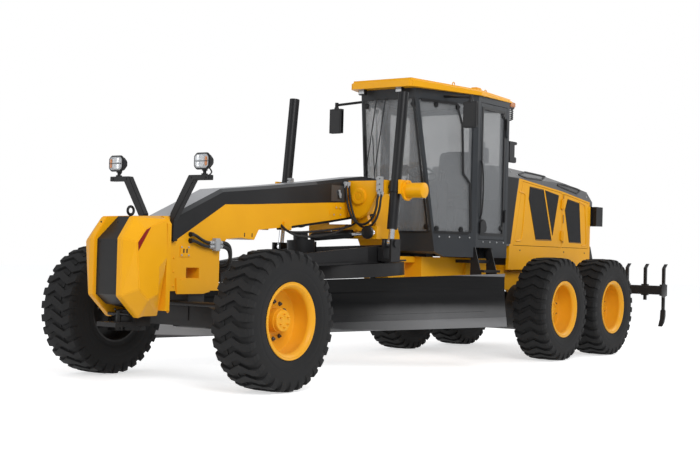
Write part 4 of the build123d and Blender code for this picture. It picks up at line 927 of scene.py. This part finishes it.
# ---------------- nose
NOSE_X = 6832
CHEEK_INNER = [(470, 840), (470, 1357), (328, 1555), (0, 1572), (0, 655), (178, 655), (246, 640)]
CHEEK_OUTER = [(404, 1325), (311, 1440), (33, 1540), (19, 1203), (116, 1080), (124, 865), (250, 808), (363, 907)]
CHEEK_Y = (143, 206, 330)                   # inner face, outer rim and raised face, from the centre plane
CHEEK_SIDES = [(0, 1, 7, 14), (1, 2, 8, 7), (2, 3, 9, 8), (3, 4, 10, 9), (4, 11, 10), (4, 12, 11), (4, 5, 13, 12),
               (5, 6, 13), (6, 0, 14, 13)]
CHEEK_STRIPE = [(394, 1321), (297, 1436), (238, 1462), (386, 1246)]


def cheek(side):
    """One faceted cheek: an outline at the centre's side, the same further out, and a smaller raised face."""
    inner, shift = len(CHEEK_INNER), len(CHEEK_INNER) + len(CHEEK_OUTER)
    rows = ((CHEEK_Y[1], CHEEK_INNER), (CHEEK_Y[2], CHEEK_OUTER), (CHEEK_Y[0], CHEEK_INNER))
    points = [at(NOSE_X + x, side * y, z) for y, outline in rows for x, z in outline]
    faces = CHEEK_SIDES + [tuple(range(inner, shift)), tuple(range(shift, shift + inner))]
    faces += [(k, (k + 1) % inner, shift + (k + 1) % inner, shift + k) for k in range(inner)]
    return bevelled(shape_from("cheek", points, faces, "yellow"), 7, 2)


def nose():
    stands_for(joined([cheek(1), cheek(-1)], "faceted_cheeks"), "front_frame", "nose_cheeks")
    stripe = [(NOSE_X + x, z) for x, z in CHEEK_STRIPE]
    marks = [prism("cheek_stripe", stripe, "y", side * 329, side * 331.5, "stripe", 0) for side in (1, -1)]
    fitted(joined(marks, "cheek_stripes"), "front_frame")
    flange = [(6780, side * 280, z) for side in (1, -1) for z in range(700, 1481, 130)]
    panel = [(7264, y, z) for y in (-105, 105) for z in (720, 1020, 1320, 1500)]
    bolts = screws("flange_screw", flange, (-1, 0, 0), 13, 12, "yellow")
    bolts += screws("panel_screw", panel, (1, 0, 0), 8, 6, "black")
    fitted(joined(bolts, "nose_screws"), "front_frame")


LAMP_ARM = [(170, 1345), (214, 1345), (214, 1535), (452, 1908), (640, 1908), (640, 1955), (388, 1955), (170, 1600)]
BULB = [(0, 22), (0.6, 20), (1, 10)]
LAMP_FOOT = [(0, 30), (0.25, 30), (0.25, 16), (0.7, 16), (0.7, 26), (1, 26)]
# housings from the back forwards: name, y, z and x, finish, cut corner and bevel
LAMP_PANELS = [("lamp_case", (474, 636), (2014, 2145), (6596, 6672), "trim", 44, 8),
               ("lamp_rim", (458, 652), (2002, 2157), (6654, 6680), "trim", 32, 6),
               ("lamp_bowl", (472, 638), (2016, 2143), (6674, 6684), "silver", 24, 3),
               ("lamp_clear", (482, 594), (2024, 2135), (6680, 6688), "lens", 20, 3),
               ("lamp_amber", (600, 628), (2036, 2123), (6680, 6688), "amber", 8, 3)]
LAMP_LEAD = [(6600, 560, 2040), (6572, 575, 2010), (6580, 600, 1975), (6610, 590, 1955)]
ARM_SCREWS = [(6668, 192, 1390), (6668, 192, 1480), (6668, 420, 1930), (6668, 600, 1930)]


def eight_sided(name, y, z, x, finish, corner, bevel):
    """A block with its four corners cut off, as seen from the front."""
    outline = [(y[0] + corner, z[0]), (y[1] - corner, z[0]), (y[1], z[0] + corner), (y[1], z[1] - corner),
               (y[1] - corner, z[1]), (y[0] + corner, z[1]), (y[0], z[1] - corner), (y[0], z[0] + corner)]
    return prism(name, outline, "x", *x, finish, bevel)


def head_lamps():
    sides = []
    for side in (1, -1):
        parts = [prism("lamp_arm", LAMP_ARM, "x", 6603, 6668, "black", 4),
                 lathe("lamp_foot", at(6632, 555, 1954), at(6632, 555, 2010), LAMP_FOOT, "trim", 14)]
        parts += [eight_sided(*row) for row in LAMP_PANELS]
        parts += [slab("lamp_bar", (6686, 6690), (472, 638), (2076, 2082), "trim", 1),
                  pipe("lamp_lead", [at(*p) for p in LAMP_LEAD], 7, "hose", 8)]
        for z in (2110, 2050):
            parts.append(lathe("lamp_bulb", at(6684, 520, z), at(6692, 520, z), BULB, "mirror", 16))
        parts += screws("arm_screw", ARM_SCREWS, (1, 0, 0), 8, 6)
        sides.append(sided(joined(parts, "lamp_set"), side))
    stands_for(joined(sides, "dressed_head_lamps"), "front_frame", "head_lamps")


# ---------------- lift saddle and hoses
SADDLE_WEB = [(172, 2074), (650, 2074), (650, 1950), (560, 1925), (440, 1720), (330, 1660), (172, 1690)]
BOSS = [(0, 92), (0.5, 92), (0.6, 84), (1, 84), (1, 50), (0.8, 50), (0.8, 30), (1, 30), (1, 0)]
BOSS_PLACE = (330, 1905)
CAP = [(0, 76), (0.6, 76), (1, 68), (1, 0)]
CAP_PLACE = (3740, 1975)
LIFT_TOP = [(0, 12), (0.2, 12), (0.2, 18), (0.6, 18), (0.6, 15), (1, 15)]
LIFT_END = [(0, 17), (0.5, 17), (0.5, 20), (1, 20)]
# two hoses below the neck on the left
LOW_ROUTES = ([(5010, 150, 1560), (5075, 260, 1480), (4865, 300, 1478), (4449, 300, 1512), (4086, 300, 1551),
               (3880, 290, 1600), (3790, 250, 1640)],
              [(5000, 150, 1550), (5100, 340, 1455), (4800, 350, 1430), (4400, 340, 1470), (4150, 320, 1530),
               (3900, 200, 1590), (3790, 120, 1590)])


def saddle_trim():
    parts = []
    for side in (1, -1):
        y, z = side * BOSS_PLACE[0], BOSS_PLACE[1]
        parts.append(prism("saddle_web", [(side * a, b) for a, b in SADDLE_WEB], "x", 3780, 3864, "yellow", 10))
        parts.append(lathe("saddle_boss", at(3862, y, z), at(3892, y, z), BOSS, "yellow", 32))
        parts += screws("boss_screw", [(3892, y + a, z + b) for a, b in circle(8, 66)], (1, 0, 0), 7, 3, "yellow")
        x, z = CAP_PLACE
        spots = [(x + a, side * 887, z + b) for a, b in circle(8, 96, 0.3)]
        parts += screws("cap_screw", spots, (0, side, 0), 9, 9, "yellow")
        parts.append(lathe("cap_end", at(x, side * 1090, z), at(x, side * 1103, z), CAP, "rim", 32))
    fitted(joined(parts, "saddle_trim"), "front_frame")


def valve_blocks():
    parts = []
    for side in (1, -1):
        parts.append(slab("valve_block", (3868, 3922), (side * 588, side * 652), (1950, 2120), "silver", 6))
        for z in (1975, 2035, 2095):
            parts += [screw("valve_plug", at(3922, side * 604, z), (1, 0, 0), 9, 9, "silver"),
                      screw("valve_plug", at(3922, side * 636, z), (1, 0, 0), 7, 9, "slate")]
    fitted(joined(parts, "valve_blocks"), "front_frame")


def lift_hose(side, x, start, low):
    """A hose from its port on the neck down in a loop and up to the lift cylinder, with its fittings."""
    end = start + 424
    run = [(start, 2046), (start + 10, 1950), (start + 34, 1800), (start + 110, low + 30), (start + 240, low - 30),
           (start + 370, low + 40), (end, 1780), (end + 4, 1870)]
    points = [at(x, side * y, z) for y, z in run] + [at(x - 30, side * end, 1930)]
    return [pipe("lift_hose", points, 13, "hose", 12),
            fitting("lift_fitting", at(x, side * start, 2056), at(x, side * start, 2000), LIFT_TOP),
            slab("lift_port", (x - 16, x + 16), (side * 170, side * (start + 14)), (2040, 2066), "silver", 3),
            fitting("lift_fitting", at(x - 28, side * end, 1905), at(x - 36, side * end, 1955), LIFT_END)]


def lift_hoses():
    parts = []
    for side in (1, -1):
        parts += lift_hose(side, 3908, 214, 1580) + lift_hose(side, 3936, 190, 1610)
    parts += [pipe("low_hose", [at(*p) for p in route], 12, "hose", 10) for route in LOW_ROUTES]
    fitted(joined(parts, "lift_hoses"), "front_frame")


chamfered_neck()
column_trim()
column_hoses()
nose()
head_lamps()
saddle_trim()
valve_blocks()
lift_hoses()


# ---------------- hood trim, ripper and the cab's rear corner
HINGES = ((2045, 2175), (1774, 1901), (1502, 1630))
COWL_HATCHES = ([(530, 2366), (300, 2418), (-271, 2396), (-105, 2338), (340, 2338)],
                [(-560, 2296), (-790, 2350), (-1330, 2282), (-1191, 2214)])
COWL_SIDE = [(1088, 2325), (541, 2318), (730, 1455), (1088, 1455)]
COWL_SCREWS = ((-1500, 2180), (560, 2360), (700, 2400))
ALONG_EDGE = (0.05, 0.15, 0.5, 0.85, 0.95)  # a gasket's control points on each edge, close to the corners


def hood_details():
    parts = []
    for side in (1, -1):
        for low, high in HINGES:
            parts += [slab("door_hinge", (-791, -761), (side * 520, side * 526), (low, high), "yellow", 2),
                      lathe("hinge_pin", at(-776, side * 525, low + 6), at(-776, side * 525, high - 6),
                            [(0, 6), (1, 6)], "slate", 10)]
        spots = [(x, side * 520, z) for x, z in ((-819, 1378), (-1482, 1373), (467, 1380))]
        parts += screws("hood_screw", spots, (0, side, 0), 9, 7, "slate")
    fitted(joined(parts, "hood_fittings"), "rear_frame")
    parts = []
    for y in ((420, 570), (-570, -420)):
        parts += slabs(("tail_red", (-1935, -1928), y, (1790, 1925), "red", 4),
                       ("tail_amber", (-1935, -1928), y, (1940, 2030), "amber", 4))
    fitted(joined(parts, "tail_lenses"), "rear_frame")


def cowl_hatches():
    """Hatches with thick black gaskets on the cowl's sloping sides, laid on its surface."""
    made = merged("hood_cowl")
    tree = BVHTree.FromBMesh(made)
    made.free()

    def on_cowl(x, z, side, lift):
        """The points where lines towards the centre plane meet the cowl; none where a line misses it."""
        spot, normal, _, _ = tree.ray_cast(at(x, side * 900, z), Vector((0, -side, 0)))
        return [] if spot is None else [spot + normal * lift / 1000]

    parts = []
    for side in (1, -1):
        for outline in COWL_HATCHES:
            spots = []
            for (x0, z0), (x1, z1) in zip(outline, outline[1:] + outline[:1]):
                for t in ALONG_EDGE:
                    spots += on_cowl(x0 + (x1 - x0) * t, z0 + (z1 - z0) * t, side, 3)
            parts.append(pipe("hatch_gasket", spots + spots[:1], 12, "trim", 8))
        parts.append(prism("cowl_side", COWL_SIDE, "y", side * 519, side * 521.5, "black", 0))
        for x, z in COWL_SCREWS:
            parts += [screw("cowl_screw", spot, (0, side, 0.6), 10, 9, "silver") for spot in on_cowl(x, z, side, 0)]
    fitted(joined(parts, "cowl_hatches"), "rear_frame")


BEAM_CAP = [(0, 108), (0.7, 108), (1, 92), (1, 0)]
TOOTH = [(-2918, 560), (-2868, 560), (-2852, 430), (-2786, 318), (-2800, 312), (-2880, 372), (-2922, 470)]
TIP_LOW, TIP_X, TIP_BEND = 1.2, -2830, 0.115      # shanks above TIP_LOW and behind TIP_X lean back by TIP_BEND


def ripper():
    made = merged("ripper_frame")
    for vert in made.verts:
        if vert.co.z > TIP_LOW and vert.co.x * 1000 + DATUM_X < TIP_X:
            vert.co.x -= TIP_BEND
    parts = [dressed_copy(made, "ripper_steel", ("black",))]
    for side in (1, -1):
        ends = at(-2800, side * 1195, 852), at(-2800, side * 1216, 852)
        parts.append(lathe("beam_cap", *ends, BEAM_CAP, "black", 28))
    for k in range(9):
        y = -1160 + k * 290
        parts += screws("shank_screw", [(-2925, y, 830), (-2925, y, 885)], (-1, 0, 0), 13, 12)
        if k in (0, 4, 8):
            parts.append(prism("ripper_tooth", TOOTH, "y", y - 34, y + 34, "black", 6))
    stands_for(joined(parts, "dressed_ripper"), "ripper", "ripper_frame")


def small_screws():
    parts = []
    for side in (1, -1):
        spots = [(x, side * CAB_HALF, 1462) for x in (1250, 1420, 1590, 1760)]
        parts += screws("skirt_screw", spots, (0, side, 0), 9, 7, "silver")
        out = (QUARTER_OUT.x, side * QUARTER_OUT.y, 0)
        for x in (2030, 2180, 2330, 2480):
            spot = quarter_point(x, 1505)
            parts.append(screw("skirt_screw", Vector((spot.x, side * spot.y, spot.z)), out, 9, 7, "silver"))
    fitted(joined(parts, "skirt_screws"), "rear_frame")
    pin = [(0, 72), (0.8, 72), (1, 58), (1, 0)]
    fitted(lathe("shift_pin_head", at(3893, 480, 1512), at(3930, 480, 1512), pin, "trim", 24), "front_frame")


COIL_TOP, COIL_R, COIL_STEPS, COIL_DROP = (1035, 655, 3172), 22, 50, 3.1    # eight steps a turn, each so much lower


def cab_rear_fittings():
    """A bracket, and a lamp with its coiled cable, on the rear left corner of the cab."""
    parts = slabs(("rear_bracket", (985, 1122), (655, 690), (2500, 2740), "trim", 4),
                  ("rear_bracket_head", (927, 1122), (640, 692), (2715, 2752), "trim", 6),
                  ("rear_bracket_foot", (937, 1122), (640, 692), (2486, 2557), "trim", 8),
                  ("rear_lamp_foot", (1000, 1122), (625, 680), (3168, 3190), "trim", 3),
                  ("rear_lamp", (985, 1118), (612, 688), (3186, 3249), "amber", 8))
    (x, y, z), turn = COIL_TOP, circle(8, COIL_R)
    coil = [at(x + turn[k % 8][0], y + turn[k % 8][1], z - k * COIL_DROP) for k in range(COIL_STEPS)]
    parts.append(pipe("rear_lamp_cable", coil + [at(1122, 655, 3012)], 7, "trim", 6))
    fitted(joined(parts, "cab_rear_fittings"), "rear_frame")


# ---------------- inside the cab, and its roof
SEAT_BASE = [(1310, 1495), (1610, 1495), (1580, 1880), (1340, 1880)]
SEAT_CUSHION = [(1290, 1885), (1730, 1875), (1760, 1930), (1745, 1990), (1300, 2000)]
SEAT_BACK = [(1385, 2010), (1420, 2060), (1365, 2330), (1330, 2560), (1300, 2610), (1250, 2612), (1228, 2580),
             (1245, 2300), (1275, 2010)]
SEAT_HEAD = [(1372, 2440), (1362, 2600), (1330, 2618), (1268, 2618), (1262, 2440)]
COLUMN = [(0, 95), (0.2, 62), (0.9, 50), (1, 58), (1, 0)]
LEVER = [(0, 7), (0.72, 6), (0.75, 17), (0.95, 15), (1, 0)]
PEDAL = [(2380, 1500), (2400, 1500), (2480, 1620), (2460, 1630)]
WHEEL_R, GRIP_R, WHEEL_TILT = 0.183, 0.014, -25      # the steering wheel, in metres and degrees
WHEEL_PLACE = (2085, 0, 2290)
ROOF_EDGE_Z, ROOF_EDGE_R = 3.24, 0.028


def steering_wheel():
    """The wheel's parts, made flat about the origin and tilted to their place on the column."""
    grip = circle(10, GRIP_R)
    points = [((WHEEL_R + a) * c, (WHEEL_R + a) * s, b) for c, s in circle(40, 1.0) for a, b in grip]
    wheel = [shape_from("wheel_rim", points, skin(40, 10), "trim", True)]
    for c, s in circle(3, 1.0, math.pi / 2):
        run = [Vector((c * r, s * r, z)) for r, z in ((0, -0.03), (0.09, -0.02), (0.18, 0))]
        wheel.append(pipe("wheel_spoke", run, 11, "trim", 8))
    hub = [(0, 55), (0.7, 55), (1, 42), (1, 0)]
    wheel.append(lathe("wheel_hub", Vector((0, 0, -0.06)), Vector((0, 0, 0.01)), hub, "trim", 20))
    tilt = Matrix.Translation(at(*WHEEL_PLACE)) @ Matrix.Rotation(math.radians(WHEEL_TILT), 4, "Y")
    return [moved(part, tilt) for part in wheel]


def cab_inside():
    parts = [prism("seat_base", SEAT_BASE, "y", -190, 190, "trim", 20),
             prism("seat_cushion", SEAT_CUSHION, "y", -250, 250, "seat", 34),
             prism("seat_back", SEAT_BACK, "y", -225, 225, "seat", 40),
             prism("seat_head", SEAT_HEAD, "y", -130, 130, "seat", 26),
             slab("seat_belt", (1400, 1412), (-180, -150), (2000, 2380), "trim", 2),
             lathe("steering_column", at(2250, 0, 1495), at(2118, 0, 2215), COLUMN, "trim", 20)]
    parts += slabs(("console", (1930, 2160), (-300, -170), (1495, 2190), "trim", 20),
                   ("console", (1930, 2160), (170, 300), (1495, 2190), "trim", 20),
                   ("display", (2050, 2080), (-360, -220), (2260, 2400), "trim", 8))
    parts += steering_wheel()
    for y in (-260, -225, 225, 260):
        parts += [lathe("lever", at(x, y, 2185), at(x - 30, y, 2330), LEVER, "trim", 10) for x in (1970, 2030)]
    parts += [prism("pedal", PEDAL, "y", y - 40, y + 40, "trim", 4) for y in (-90, 90)]
    parts += [slab("arm_rest", (1330, 1640), y, (2120, 2175), "seat", 18) for y in ((270, 336), (-336, -270))]
    stands_for(joined(parts, "dressed_operator_station"), "rear_frame", "operator_station")


def is_roof_edge(edge):
    middle = (edge.verts[0].co.z + edge.verts[1].co.z) / 2
    return len(edge.link_faces) == 2 and edge.calc_face_angle(0) > SHARP and middle > ROOF_EDGE_Z


def rounded_roof():
    made = merged("cab_roof")
    edges = [edge for edge in made.edges if is_roof_edge(edge)]
    bmesh.ops.bevel(made, geom=edges, offset=ROOF_EDGE_R, segments=3, affect="EDGES", clamp_overlap=True)
    piece = dressed_copy(made, "rounded_roof", ("yellow",))
    piece.data.shade_smooth()
    piece.data.set_sharp_from_angle(angle=math.radians(28))
    stands_for(piece, "rear_frame", "cab_roof")


hood_details()
cowl_hatches()
ripper()
small_screws()
cab_rear_fittings()
cab_inside()
rounded_roof()


# ---------------- floor, lamps and camera
def stage():
    bpy.ops.mesh.primitive_plane_add(size=120)
    floor = bpy.context.object
    floor.name = "studio_floor"
    ground = Finish("studio_floor")
    rays = ground.tree.nodes.new("ShaderNodeLightPath").outputs
    camera_ray, glossy, through = (Value(ground, rays["Is %s Ray" % k]) for k in ("Camera", "Glossy", "Transmission"))
    seen = (camera_ray + glossy + through).clamped()
    ground.set(Base_Color=(0.80, 0.80, 0.80, 1), Roughness=0.9)
    plain = Value(ground, ground.shader.outputs[0])
    glow = ground.node("ShaderNodeEmission", {"Color": (1, 1, 1, 1), "Strength": 0.60})
    both = ground.node("ShaderNodeAddShader", {0: plain, 1: glow})
    choice = ground.node("ShaderNodeMixShader", {0: seen, 1: plain, 2: both})
    ground.feed(ground.tree.nodes["Material Output"].inputs["Surface"], choice)
    floor.data.materials.append(ground.material)
    world = bpy.data.worlds.new("studio")
    bpy.context.scene.world = world
    world.use_nodes = True
    nodes, links = world.node_tree.nodes, world.node_tree.links
    fill = nodes["Background"]
    fill.inputs["Color"].default_value = (0.95, 0.97, 1.0, 1)
    fill.inputs["Strength"].default_value = 0.5
    white = nodes.new("ShaderNodeBackground")
    white.inputs["Color"].default_value = (1, 1, 1, 1)
    path = nodes.new("ShaderNodeLightPath")
    mix = nodes.new("ShaderNodeMixShader")
    links.new(path.outputs["Is Camera Ray"], mix.inputs[0])
    links.new(fill.outputs[0], mix.inputs[1])
    links.new(white.outputs[0], mix.inputs[2])
    links.new(mix.outputs[0], nodes["World Output"].inputs["Surface"])


LIGHTS = {"key": ((9, 10, 9), 7.0, 1150), "fill": ((12, -8, 6), 8.0, 330), "back": ((-9, 5, 8), 8.0, 450)}
LIGHTS_AIM = (0, 0, 1.4)


def lamp(name, place, size, power):
    light = bpy.data.lights.new(name, "AREA")
    light.size = size
    light.energy = power
    holder = shown(name, light)
    aim = Vector(LIGHTS_AIM) - Vector(place)
    holder.matrix_world = Matrix.Translation(place) @ aim.to_track_quat("-Z", "Y").to_matrix().to_4x4()


CAMERA_PLACE = (12.9814, 8.3525, 1.2582)
CAMERA_TURN = (215.744, 0.981, 1.506)     # heading, pitch and roll in degrees
CAMERA_LENS = 64.75


def camera():
    heading, pitch, roll = (math.radians(a) for a in CAMERA_TURN)
    ahead = Vector((math.cos(heading) * math.cos(pitch), math.sin(heading) * math.cos(pitch), math.sin(pitch)))
    right = Vector((math.sin(heading), -math.cos(heading), 0))
    above = right.cross(ahead)
    x_axis = math.cos(roll) * right + math.sin(roll) * above
    y_axis = -math.sin(roll) * right + math.cos(roll) * above
    data = bpy.data.cameras.new("view")
    data.lens, data.sensor_width, data.clip_end = CAMERA_LENS, 36.0, 200.0
    holder = shown("view", data)
    turn = Matrix((x_axis, y_axis, -ahead)).transposed().to_4x4()
    holder.matrix_world = Matrix.Translation(CAMERA_PLACE) @ turn
    bpy.context.scene.camera = holder


stage()
for name, light in LIGHTS.items():
    lamp(name, *light)
camera()
bpy.context.scene.view_settings.view_transform = "Standard"
